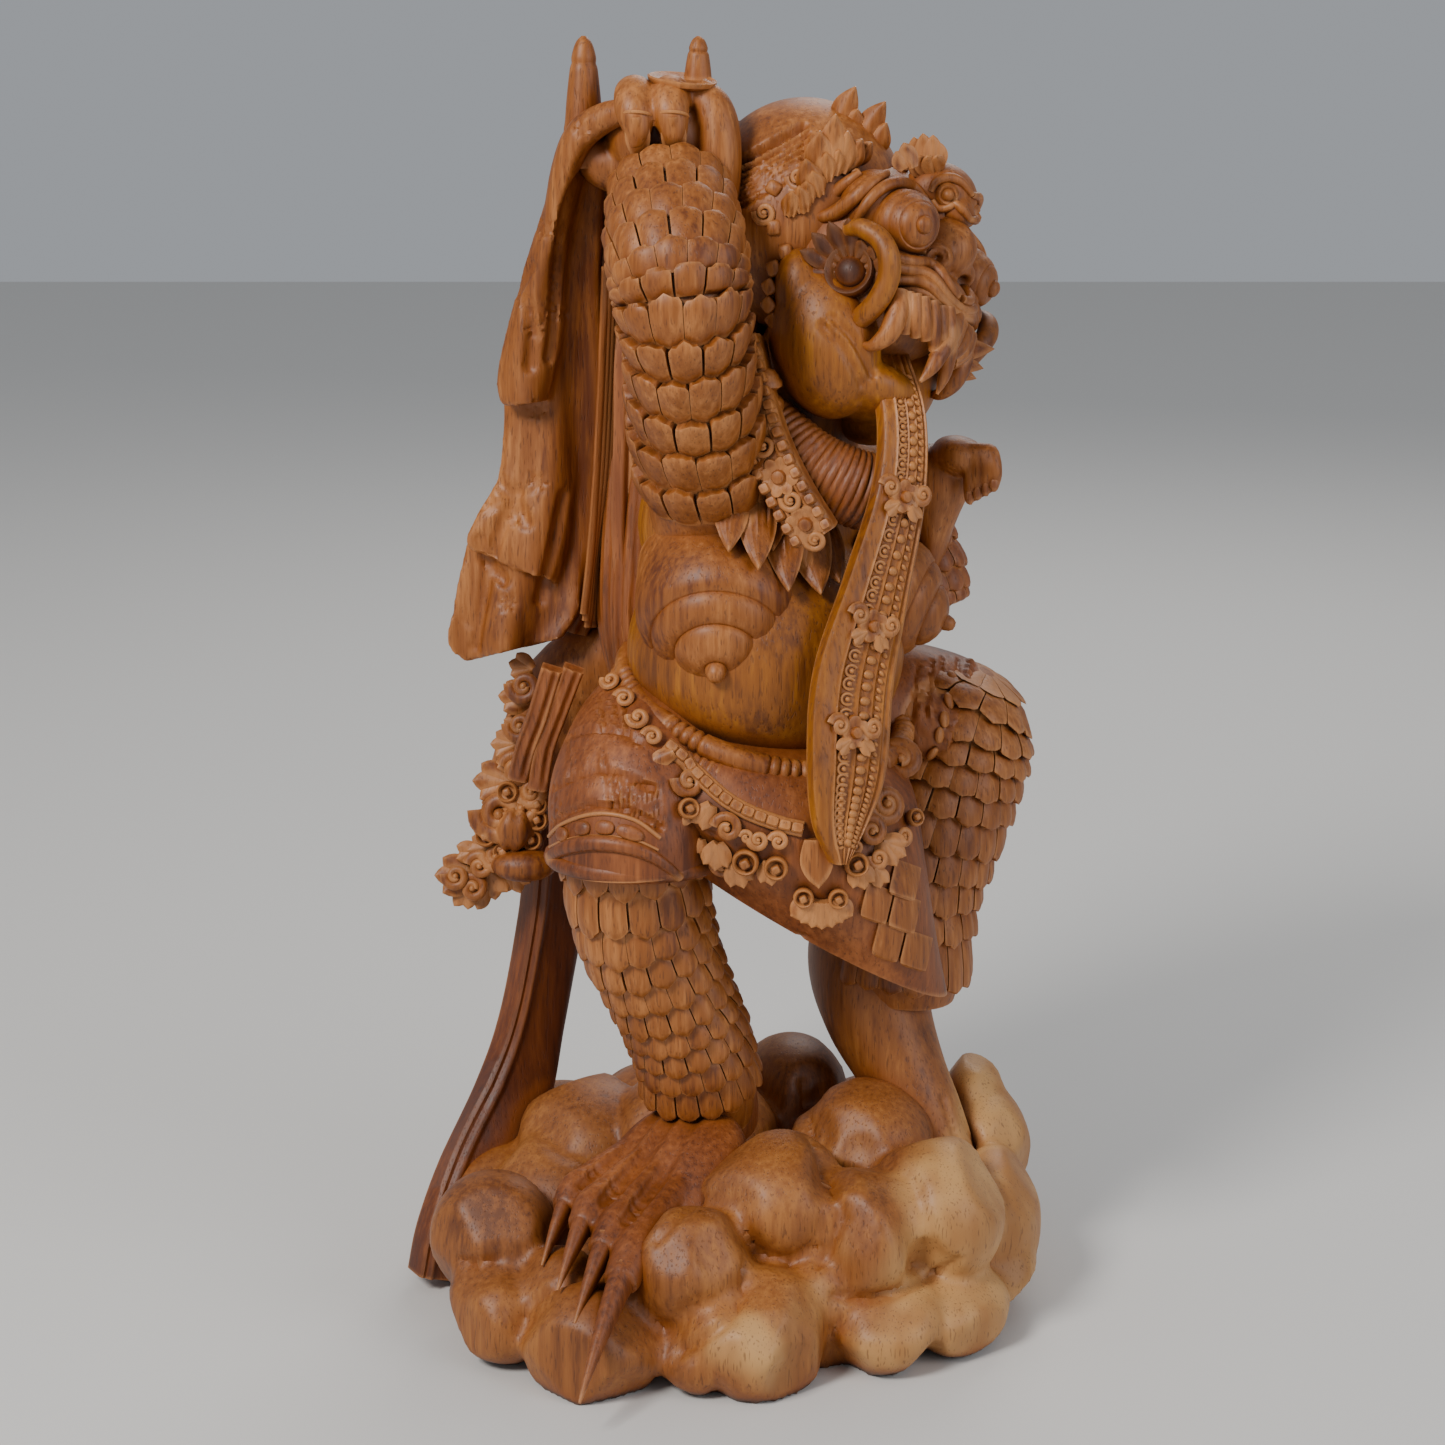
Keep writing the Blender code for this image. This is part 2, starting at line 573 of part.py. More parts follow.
        block(f"temple_bead_{number}", at(spot.x, spot.y, spot.z), (4.4 * UNIT, 5.5 * UNIT, 6 * UNIT),
              Vector((-0.4, -1, 0.1)),
              Vector((0.2, 0, 1)))


def make_hair():
    """The long hair: grooved locks from the crown down the back to the waist."""
    limb("hair_fall", [
        (20, 14, 384, 20, 22),
        (4, 20, 366, 28, 28),
        (-8, 20, 340, 30, 26),
        (-12, 20, 300, 28, 25),
        (-16, 18, 262, 26, 26),
        (-18, 16, 230, 22, 26),
        (-20, 12, 208, 16, 20),
        (-22, 8, 196, 9, 12),
    ], across=Vector((-0.77, 0.64, 0)), around=22, steps=1, lobes=11, depth=0.05)


def make_neckpiece():
    """Beads and rosettes around the neck, a pleated fur collar and the ear pendant."""
    near = [(8, -24, 318), (11, -34, 300), (18, -42, 282), (28, -46, 266), (34, -46, 256)]
    strap("neck_strap", [(x, y + 3, z, 6.5, 0) for x, y, z in near], across=Vector((0.9, -0.2, 0.45)),
          thickness=9 * UNIT, steps=1)
    path = between([(x, y, z, 1, 1) for x, y, z in near], 4)
    for number in range(0, len(path), 2):
        x, y, z = path[number][:3]
        for side in (-1, 1):
            block(f"neck_bead_{number}_{side + 1}", at(x + side * 6, y, z + side * 2.6),
                  Vector((2, 2, 2)) * BEAD_RADIUS,
                  Vector((0.2, -1, 0.2)), Vector((0.6, 0, -1)))
    for number in (3, 9, 15):
        x, y, z = path[number][:3]
        rosette(f"neck_rosette_{number}", at(x, y - 3.5, z), Vector((-0.1, -1, 0.1)), 6.5)
    limb("fur_collar", [(14, -26, 298, 9, 8), (28, -33, 285, 11, 9), (44, -32, 277, 12, 9), (56, -20, 275, 11,
        8)],
         across=Vector((0, 0, 1)), around=10)
    turned("ear_pendant", at(12, -30, 301), Vector((0.1, -0.1, 1)),
           [(0.0, 15), (4, 13), (5.5, 9), (3.5, 7), (6.5, 5), (6.5, 0), (3, -3),
                                                                   (0.0, -4)], around=10)


def make_tongue():
    """The long flaming tongue, with a raised border on each side, beads between and three rosettes."""
    path = [
        (52, -24, 316, 7.5, 0),
        (55, -34, 301, 7.5, 0),
        (54, -42, 278, 8.5, 0),
        (47, -50, 250, 11, 0),
        (40, -58, 223, 13.5, 0),
        (38, -65, 197, 13, 0),
        (36, -68, 181, 9, 0),
        (35.5, -70, 168, 2, 0),
    ]
    facing = Vector((0.86, 0.50, -0.08))
    strap("tongue", path, across=facing, thickness=TONGUE_THICKNESS)
    fine = between(path[1:7], 5)
    for place, wide, deep, side, other, along in frames(fine, facing)[::2]:
        number = len(forms.objects)
        lift = other if other.y < 0 else -other
        ball(f"tongue_bead_{number}", place + lift * TONGUE_THICKNESS * 0.62 + side * wide * 0.12,
             (BEAD_RADIUS, BEAD_RADIUS, BEAD_RADIUS * 0.8),
             along=lift, across=side, around=6, rings=4)
    for name, low, high in (("tongue_edge_0", -0.42, -0.60), ("tongue_edge_1", 0.86, 0.68)):
        stations = []
        for place, wide, deep, side, other, along in frames(fine, facing)[::2]:
            lift = other if other.y < 0 else -other
            spot = place + lift * TONGUE_THICKNESS * 0.5 + side * wide * (low + high) / 2
            stations.append((spot.x / UNIT, spot.y / UNIT, (spot.z - BASE_HEIGHT) / UNIT + STAND, 1.8, 1.5))
        limb(name, stations, across=facing, around=6, steps=1)
    for number, (x, y, z) in enumerate(((54, -45, 279), (44, -56, 238), (39, -68, 196))):
        rosette(f"tongue_rosette_{number}", at(x, y, z), Vector((0.35, -0.9, 0.1)), 6.5)


def make_skirt():
    """The skirt: belt, near thigh, apron with its scrolls, hem and the ribbons at the hip."""
    limb("near_thigh", [
        (0, 4, 194, 32, 28),
        (-14, -18, 190, 34, 30),
        (-25, -35, 180, 30, 31),
        (-28, -42, 169, 27, 30),
        (-28, -43, 160, 26, 29),
    ], across=Vector((1, 0.2, 0)), around=14)
    hoop("knee_hem", at(-28, -42, 162), Vector((0.02, 0.08, 1)), Vector((1, 0, 0)), 26, 28, 3.6, steps=16)
    rings = []
    for x, y, z, wide, deep, slope in (
        (15, -18, 202, 38, 25, -0.25),
        (15, -29, 191, 46, 32, -0.25),
        (17, -35, 173, 48, 33, -0.35),
        (21, -33, 155, 48, 31, -0.50),
        (25, -27, 139, 48, 28, -0.58),
    ):
        ring = []
        for i in range(18):
            angle = 2 * math.pi * i / 18
            out = wide * math.cos(angle)
            ring.append(at(x + out, y + deep * math.sin(angle), z + slope * out))
        rings.append(ring)
    loft("apron", rings)
    limb("skirt_back", [(6, 22, 214, 30, 18), (4, 30, 202, 40, 26), (4, 34, 182, 44, 29), (8, 34, 160, 43,
        28),
                        (16, 30, 146, 34, 22)], across=Vector((1, 0, 0)), around=14)
    waist = Vector((0.29, -0.25, 1))
    hoop("belt", at(14, -10, 206), waist, RIGHT, 48, 45, 4.4, steps=20)
    hoop("belt_fringe", at(12, -11, 197), waist, RIGHT, 50, 48, 4.4, steps=20)
    for number in range(9):
        share = number / 8
        spot = Vector((-16, -78, 190)).lerp(Vector((28, -70, 155)), share)
        rise = 5 * math.sin(math.pi * share)
        rosette(f"apron_scroll_{number}", at(spot.x, spot.y - 1 + rise, spot.z - rise),
                Vector((0.1, -1, 0.25)), 7.5 if number % 2 else 6.0)
    for number in range(8):
        share = number / 7
        spot = Vector((32, -62, 152)).lerp(Vector((66, -20, 196)), share)
        rosette(f"side_scroll_{number}", at(spot.x, spot.y, spot.z), Vector((0.5, -1, 0.2)),
                7.0 if number % 2 else 6.0)
    spike("apron_pendant", at(26, -62, 160), Vector((0.1, -0.25, -1)), 26 * UNIT, 12 * UNIT, 6 * UNIT)
    limb("thigh_band", [(62, -8, 200, 7, 5), (84, 2, 206, 8, 5), (96, 16, 206, 7, 5)],
         across=Vector((0, 0, 1)), around=8)
    for number, shift in enumerate((0.0, 9.0)):
        limb(f"hip_ribbon_{number}", [
            (-36 - shift, -12, 214, 4.2, 3.4),
            (-44 - shift, -20, 200, 4.2, 3.4),
            (-53 - shift * 0.6, -26, 184, 4.0, 3.4),
            (-58 - shift * 0.4, -28, 172, 3.0, 3.0),
        ], around=8)


def make_held_cloth():
    """The cloth that hangs from the raised hand in folds, behind the arm."""
    stations = between([
        (-30, 0, 386, 10, 1),
        (-43, 4, 366, 12, 1),
        (-49, 6, 350, 15, 2),
        (-54, 8, 332, 18, 3),
        (-59, 10, 309, 19, 4),
        (-61, 11, 289, 18, 5),
        (-60, 12, 270, 19, 6),
        (-66, 13, 252, 25, 7),
        (-70, 14, 234, 27, 8),
        (-71, 14, 214, 27, 8),
    ], 1)
    folds = 7
    rings = []
    for x, y, z, wide, wave in stations:
        front = []
        back = []
        for i in range(folds):
            share = i / (folds - 1) * 2 - 1
            shift = wave * (0.5 if i % 2 else -0.5)
            middle = Vector((x + share * wide * 0.80, y - share * wide * 0.55, z + share * 2))
            facing = Vector((-0.5, -0.86, 0))
            front.append(at(*(middle + facing * shift + Vector((0, 0,
                -abs(wave) * (0.5 if i % 2 else 0))))) + facing * CLOTH_THICKNESS / 2)
            back.append(at(*middle) - facing * CLOTH_THICKNESS / 2)
        rings.append(front + back[::-1])
    loft("held_cloth", rings)
    limb("cloth_back", [(-36, 10, 372, 15, 12), (-44, 16, 330, 18, 13), (-48, 20, 280, 20, 15), (-52, 24, 236,
        20, 15)],
         across=Vector((0.85, -0.5, 0)), around=10)


def make_sash_and_bustle():
    """Behind: the sash that runs down to the rocks, and the stack of leaves and scrolls above it."""
    strap("rear_sash", [
        (-40, 28, 176, 13, 0),
        (-52, 30, 150, 13, 0),
        (-58, 30, 118, 11, 0),
        (-65, 28, 82, 11, 0),
        (-72, 22, 57, 13, 0),
        (-84, 10, 34, 13, 0),
        (-92, 3, 18, 11, 0),
        (-96, 0, 2, 10, 0),
    ], across=Vector((0.86, 0.5, 0)), thickness=11 * UNIT)
    limb("bustle_core", [(-30, 26, 214, 12, 15), (-52, 31, 200, 14, 17), (-66, 34, 176, 15, 19), (-74, 36,
        152, 13, 19),
                         (-80, 37, 134, 9, 14)], across=Vector((0, 1, 0)), around=10)
    leaves = 13
    for number in range(leaves):
        share = number / (leaves - 1)
        spot = Vector((-54, 30, 212)).lerp(Vector((-88, 37, 138)), share)
        side = (-1, 0, 1)[number % 3]
        lean = Vector((-0.85, side * 0.8, 0.25 - 0.7 * share))
        spike(f"bustle_leaf_{number}", at(spot.x + 8, spot.y + side * 6, spot.z), lean,
              (22 - 3 * (number % 2)) * UNIT, 7 * UNIT, 5 * UNIT,
              across=Vector((0, 0, 1)))
        if number % 2:
            rosette(f"bustle_rosette_{number}", at(spot.x + 4, spot.y - 12, spot.z), Vector((-0.4, -1, 0.1)),
                    6.5)


def drop_crumbs(bm):
    """Take away slivers smaller than a grain of sand, where two forms only graze each other."""
    waiting = set(bm.verts)
    while waiting:
        front = [waiting.pop()]
        shell = set(front)
        while front:
            vert = front.pop()
            for edge in vert.link_edges:
                other = edge.other_vert(vert)
                if other not in shell:
                    shell.add(other)
                    front.append(other)
        waiting -= shell
        low = [min(vert.co[i] for vert in shell) for i in range(3)]
        high = [max(vert.co[i] for vert in shell) for i in range(3)]
        if (Vector(high) - Vector(low)).length < CRUMB:
            bmesh.ops.delete(bm, geom=list(shell), context="VERTS")


def mend(bm):
    """Split the faces into triangles, and close up any edge that more than two of them share."""
    bmesh.ops.connect_verts_nonplanar(bm, angle_limit=0.001, faces=bm.faces)
    bmesh.ops.triangulate(bm, faces=bm.faces)
    for attempt in range(8):
        pinched = [edge for edge in bm.edges if not edge.is_manifold]
        if not pinched:
            break
        bmesh.ops.collapse(bm, edges=pinched)
    drop_crumbs(bm)
    bmesh.ops.recalc_face_normals(bm, faces=bm.faces)


def join_forms(name, first, others):
    """Unite the forms into one solid, thin out its faces, and cut it flat where it stands."""
    statue = bpy.data.objects.new(name, first.data.copy())
    block_of_wood.objects.link(statue)
    bpy.data.objects.remove(first)
    unite = statue.modifiers.new("unite", "BOOLEAN")
    unite.operation = "UNION"
    unite.operand_type = "COLLECTION"
    unite.collection = others
    unite.solver = "EXACT"
    unite.use_self = True
    mesh = bpy.data.meshes.new_from_object(statue.evaluated_get(bpy.context.evaluated_depsgraph_get()))
    statue.modifiers.clear()
    bm = bmesh.new()
    bm.from_mesh(mesh)
    mend(bm)
    bm.to_mesh(mesh)
    bm.free()
    statue.data = mesh
    thin = statue.modifiers.new("thin", "DECIMATE")
    thin.ratio = 0.46
    mesh = bpy.data.meshes.new_from_object(statue.evaluated_get(bpy.context.evaluated_depsgraph_get()))
    statue.modifiers.clear()
    bm = bmesh.new()
    bm.from_mesh(mesh)
    bmesh.ops.bisect_plane(bm, geom=bm.verts[:] + bm.edges[:] + bm.faces[:], plane_co=(0, 0, 0),
                           plane_no=(0, 0, -1), clear_outer=True)
    bmesh.ops.holes_fill(bm, edges=[edge for edge in bm.edges if edge.is_boundary], sides=0)
    mend(bm)
    bm.to_mesh(mesh)
    bm.free()
    statue.data = mesh
    xs = [vert.co.x for vert in mesh.vertices]
    ys = [vert.co.y for vert in mesh.vertices]
    mesh.transform(Matrix.Translation((-(min(xs) + max(xs)) / 2, -(min(ys) + max(ys)) / 2, 0)))
    return statue


for old in list(bpy.data.objects):
    bpy.data.objects.remove(old)

block_of_wood = bpy.data.collections.new("wooden_rangda_statue")
forms = bpy.data.collections.new("forms")
bpy.context.scene.collection.children.link(block_of_wood)
bpy.context.scene.collection.children.link(forms)

rock_core = make_rocks()
make_near_leg()
make_far_leg()
make_body()
make_skirt()
make_arms()
make_raised_hand()
make_head()
make_hair()
make_neckpiece()
make_tongue()
make_held_cloth()
make_sash_and_bustle()

rangda = join_forms("rangda_statue", rock_core, forms)
for form in list(forms.objects):
    bpy.data.objects.remove(form)

wood = bpy.data.materials.new("waxed_heartwood")
wood.use_nodes = True
finish = wood.node_tree.nodes["Principled BSDF"]
finish.inputs["Base Color"].default_value = (0.34, 0.12, 0.032, 1.0)
finish.inputs["Roughness"].default_value = 0.42
finish.inputs["Metallic"].default_value = 0.0
rangda.data.materials.clear()
rangda.data.materials.append(wood)
rangda.data.set_sharp_from_angle(angle=math.radians(35))
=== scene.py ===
import math

import bmesh
import bpy
import numpy as np
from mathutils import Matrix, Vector
from mathutils.bvhtree import BVHTree


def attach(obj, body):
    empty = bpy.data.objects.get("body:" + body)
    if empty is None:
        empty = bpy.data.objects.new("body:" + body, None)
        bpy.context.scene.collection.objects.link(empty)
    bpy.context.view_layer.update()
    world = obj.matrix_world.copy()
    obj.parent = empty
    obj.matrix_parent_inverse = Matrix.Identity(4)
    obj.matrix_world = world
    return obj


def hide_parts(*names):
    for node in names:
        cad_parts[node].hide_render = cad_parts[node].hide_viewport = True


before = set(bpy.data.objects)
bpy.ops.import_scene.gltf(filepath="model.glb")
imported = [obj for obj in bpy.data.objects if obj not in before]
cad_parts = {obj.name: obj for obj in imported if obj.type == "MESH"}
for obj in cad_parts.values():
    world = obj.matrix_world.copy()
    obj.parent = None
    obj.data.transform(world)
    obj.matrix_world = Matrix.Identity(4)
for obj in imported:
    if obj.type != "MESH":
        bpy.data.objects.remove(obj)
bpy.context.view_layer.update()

METRE = 1000.0  # millimetres

# The carving is laid out in millimetres about the figure's own axis, which stands here in the row's frame.
AXIS = np.array([0.52, 6.19, 0.0])

# The statue turns to its left, and its head rolls towards its left shoulder.
RIGHT = np.array([-0.639, -0.769, 0.0])
UP = np.array([0.0, 0.0, 1.0])
HEAD = np.array([42.0, 1.0, 344.0])
FORWARD = np.array([0.8128, -0.5720, 0.1104])
LEFT = np.array([0.5497, 0.6905, -0.4702])
CROWN = np.array([0.1927, 0.4428, 0.8756])

# Where the photograph was taken from, in the same millimetres: it places what only shows from there.
EYE = np.array([0.0, -990.0, 450.0])
AIM = np.array([0.0, -40.0, 205.0])
HALF_VIEW = math.radians(13.0)
PIXELS = 1445


def unit(vector):
    """The way of a vector, one long."""
    vector = np.asarray(vector, float)
    return vector / np.linalg.norm(vector)


SIGHT = unit(AIM - EYE)
ASIDE = unit(np.cross(SIGHT, UP))
ABOVE = np.cross(ASIDE, SIGHT)
REACH = PIXELS / 2 / math.tan(HALF_VIEW)


def sight_line(across, down):
    """The way from the camera through a pixel of the photograph."""
    return SIGHT + ASIDE * (across - PIXELS / 2) / REACH + ABOVE * (PIXELS / 2 - down) / REACH


def seen(across, down, depth):
    """The place that the photograph shows at a pixel, at a depth (y) in millimetres."""
    way = sight_line(across, down)
    return EYE + way * (depth - EYE[1]) / way[1]


def pixel(points):
    """Where the photograph shows some places."""
    off = np.asarray(points, float) - EYE
    far = off @ SIGHT
    return PIXELS / 2 + off @ ASIDE / far * REACH, PIXELS / 2 - off @ ABOVE / far * REACH


def enlarged(left, top, scale, points):
    """Pixels of the photograph, from places measured on an enlarged part of it."""
    return [(left + x * scale, top + y * scale) for x, y in points]


def cover(*pieces):
    """The skin of some pieces, for laying other carving on."""
    corners, faces = [], []
    for piece in pieces:
        count = len(corners)
        corners.extend(v.co[:] for v in piece.data.vertices)
        faces.extend([count + i for i in face.vertices] for face in piece.data.polygons)
    return BVHTree.FromPolygons(corners, faces)


def landed(ground, across, down, lift=0.0):
    """Where a pixel's sight line first meets a skin, lifted off it, and the way out there."""
    spot, out, index, gap = ground.ray_cast(Vector((EYE + AXIS) / METRE), Vector(sight_line(across, down)))
    if spot is None:
        return None, None
    out = np.array(out) if Vector(out).dot(Vector(SIGHT)) < 0 else -np.array(out)
    return np.array(spot) * METRE - AXIS + out * lift, out


def course(stations, count):
    """A smooth run of values through the stations."""
    stations = np.asarray(stations, float)
    last = len(stations) - 1
    ends = np.vstack([2 * stations[0] - stations[1], stations, 2 * stations[-1] - stations[-2]])
    t = np.linspace(0, last, count)
    i = np.minimum(t.astype(int), last - 1)
    f = (t - i)[:, None]
    p0, p1, p2, p3 = ends[i], ends[i + 1], ends[i + 2], ends[i + 3]
    return p1 + 0.5 * ((p2 - p0) * f + (2 * p0 - 5 * p1 + 4 * p2 - p3) * f ** 2
                       + (3 * p1 - p0 - 3 * p2 + p3) * f ** 3)


def directions(points, across):
    """Along a run of points: the way along it, and the two ways square to it."""
    along = np.gradient(points, axis=0)
    along /= np.linalg.norm(along, axis=1)[:, None]
    side = across - along * (along @ across)[:, None]
    side /= np.linalg.norm(side, axis=1)[:, None]
    return along, side, np.cross(along, side)


def band(value, low, high, edge):
    """1 between two values, 0 outside, with soft edges."""
    return 1 / (1 + np.exp(-(value - low) / edge)) * (1 / (1 + np.exp((value - high) / edge)))


def head_spot(forward, left, up):
    """A place in the head, told by how far it is forward, left and up."""
    return HEAD + FORWARD * forward + LEFT * left + CROWN * up


def mirrored(point):
    """The same place on the other half of the head, whose middle is 2.5 mm to its left."""
    off = np.asarray(point) - HEAD
    return np.asarray(point) + LEFT * (2 * (2.5 - off @ LEFT))


def mirrored_way(way):
    """The same way on the other half of the head."""
    return np.asarray(way) - LEFT * (2 * (np.asarray(way) @ LEFT))


def skin(grid):
    """A closed skin over rings of points: rows of quads, with a point in the middle of both ends."""
    rows, cols = grid.shape[:2]
    points = np.vstack([grid.reshape(-1, 3), grid[0].mean(0), grid[-1].mean(0)])
    faces = []
    for r in range(rows - 1):
        for c in range(cols):
            d = (c + 1) % cols
            faces.append((r * cols + c, r * cols + d, (r + 1) * cols + d, (r + 1) * cols + c))
    first, second = rows * cols, rows * cols + 1
    for c in range(cols):
        d = (c + 1) % cols
        faces.append((first, d, c))
        faces.append((second, (rows - 1) * cols + c, (rows - 1) * cols + d))
    return points, faces


def plate(outer, inner):
    """A closed plate between an outer and an inner grid of points."""
    rows, cols = outer.shape[:2]
    points = np.vstack([outer.reshape(-1, 3), inner.reshape(-1, 3)])
    half = rows * cols
    faces = []
    for r in range(rows - 1):
        for c in range(cols - 1):
            a, b, d, e = r * cols + c, r * cols + c + 1, (r + 1) * cols + c + 1, (r + 1) * cols + c
            faces.append((a, b, d, e))
            faces.append((half + e, half + d, half + b, half + a))
    rim = [c for c in range(cols)] + [r * cols + cols - 1 for r in range(1, rows)]
    rim += [(rows - 1) * cols + c for c in range(cols - 2, -1, -1)] + [r * cols for r in range(rows - 2, 0, -1)]
    for a, b in zip(rim, rim[1:] + rim[:1]):
        faces.append((b, a, half + a, half + b))
    return points, faces


def limb(stations, across=(1, 0, 0), around=32, rows=40, relief=None):
    """A round form along a path of x, y, z and two half widths; relief raises or cuts its skin."""
    run = course(stations, rows)
    along, side, other = directions(run[:, :3], np.asarray(across, float))
    angle = np.linspace(0, 2 * math.pi, around, endpoint=False)
    u, v = np.meshgrid(angle / (2 * math.pi), np.linspace(0, 1, rows))
    lift = relief(u, v) if relief else np.zeros_like(u)
    wide = (run[:, 3][:, None] + lift) * np.cos(angle)
    deep = (run[:, 4][:, None] + lift) * np.sin(angle)
    grid = run[:, None, :3] + side[:, None] * wide[..., None] + other[:, None] * deep[..., None]
    return skin(grid)


def ribbon(stations, across, thick, rows, cols, relief):
    """A flat band along a path of x, y, z and half width; relief raises or cuts its front."""
    run = course(stations, rows)
    along, side, other = directions(run[:, :3], np.asarray(across, float))
    other = np.where(other[:, 1:2] > 0, -other, other)
    u, v = np.meshgrid(np.linspace(-1, 1, cols), np.linspace(0, 1, rows))
    lift = thick / 2 * (1 - 0.5 * u ** 6) + relief(u, v)
    wide = side[:, None] * (run[:, 3][:, None] * u)[..., None]
    outer = run[:, None, :3] + wide + other[:, None] * lift[..., None]
    inner = run[:, None, :3] + wide * 0.97 - other[:, None] * (thick / 2)
    return plate(outer, inner)


def ring(centre, along, across, wide, deep, thick, turns=(0.0, 1.0), steps=90, around=12, relief=None):
    """A round cord around an axis, or part of one; relief raises or cuts it on its way round."""
    along = unit(along)
    side = unit(np.asarray(across, float) - along * (along @ np.asarray(across, float)))
    other = np.cross(along, side)
    angle = 2 * math.pi * np.linspace(turns[0], turns[1], steps)
    out = side * np.cos(angle)[:, None] * wide + other * np.sin(angle)[:, None] * deep
    way = out / np.linalg.norm(out, axis=1)[:, None]
    tilt = np.linspace(0, 2 * math.pi, around, endpoint=False)
    u, v = np.meshgrid(tilt / (2 * math.pi), np.linspace(0, 1, steps))
    size = thick + (relief(u, v) if relief else 0 * u)
    grid = np.asarray(centre) + out[:, None] + way[:, None] * (size * np.cos(tilt))[..., None]
    return skin(grid + along * (size * np.sin(tilt))[..., None])


def hung(rings, around, rows):
    """A skirt of slanted rings: centre, two half widths, and the slope across."""
    run = course(rings, rows)
    angle = np.linspace(0, 2 * math.pi, around, endpoint=False)
    out = run[:, 3:4] * np.cos(angle)
    return skin(np.stack([run[:, 0:1] + out, run[:, 1:2] + run[:, 4:5] * np.sin(angle),
                          run[:, 2:3] + run[:, 5:6] * out], -1))


def egg(centre, radii, along=UP, across=(1, 0, 0), around=32, rows=20, square=1.0, relief=None):
    """An egg with its radii across, the other way and along; square under 1 makes it boxy."""
    along = unit(along)
    side = np.asarray(across, float)
    side = unit(side - along * (side @ along))
    other = np.cross(along, side)
    theta = np.linspace(0.02, math.pi - 0.02, rows)
    phi = np.linspace(0, 2 * math.pi, around, endpoint=False)

    def bent(value):
        return np.sign(value) * np.abs(value) ** square

    u, v = np.meshgrid(phi / (2 * math.pi), theta / math.pi)
    lift = 1 + (relief(u, v) if relief else 0)
    x = bent(np.sin(theta))[:, None] * bent(np.cos(phi)) * radii[0] * lift
    y = bent(np.sin(theta))[:, None] * bent(np.sin(phi)) * radii[1] * lift
    z = bent(np.cos(theta))[:, None] * np.ones_like(phi) * radii[2] * lift
    return skin(np.asarray(centre, float) + x[..., None] * side + y[..., None] * other + z[..., None] * along)


def faceted(shell, centre, radii, turn):
    """A boulder: an egg with some broad flats cut on it."""
    keep = 0.84  # how far out a flat lies, as a share of the egg's radius there
    points, faces = shell
    for k in range(8):
        way = unit([math.sin(turn + k * 2.1), math.cos(turn * 1.3 + k * 1.7), 0.75 * math.sin(k * 3.3 + turn)])
        limit = keep * math.sqrt(sum((way * radii) ** 2))
        points -= way * (np.maximum((points - centre) @ way - limit, 0) * 0.9)[:, None]
    return points, faces


def turned(centre, along, profile, around):
    """A turned form: radius and height pairs from its top down."""
    along = unit(along)
    side = unit(np.cross(along, (0.3, 0.2, 1.0)))
    other = np.cross(along, side)
    angle = np.linspace(0, 2 * math.pi, around, endpoint=False)
    rim = np.cos(angle)[:, None] * side + np.sin(angle)[:, None] * other
    grid = np.array([np.asarray(centre) + rim * max(r, 0.05) + along * h for r, h in profile])
    return skin(grid)


def rows_of(marks, counts):
    """Rows of scales between the marks along a limb."""
    return list(zip(marks[:-1], marks[1:], counts))


def rows_seen(stations, downs, counts):
    """Rows of scales whose edges the photograph shows at these heights down a limb."""
    run = course(stations, 240)
    along, side, other = directions(run[:, :3], np.array([1.0, 0, 0]))
    out = -SIGHT + along * (along @ SIGHT)[:, None]
    out /= np.linalg.norm(out, axis=1)[:, None]
    down = pixel(run[:, :3] + out * run[:, 4:5])[1]
    share = np.linspace(0, 1, 240)
    if down[0] > down[-1]:
        down, share = down[::-1], share[::-1]
    return rows_of(np.interp(downs, np.maximum.accumulate(down), share), counts)


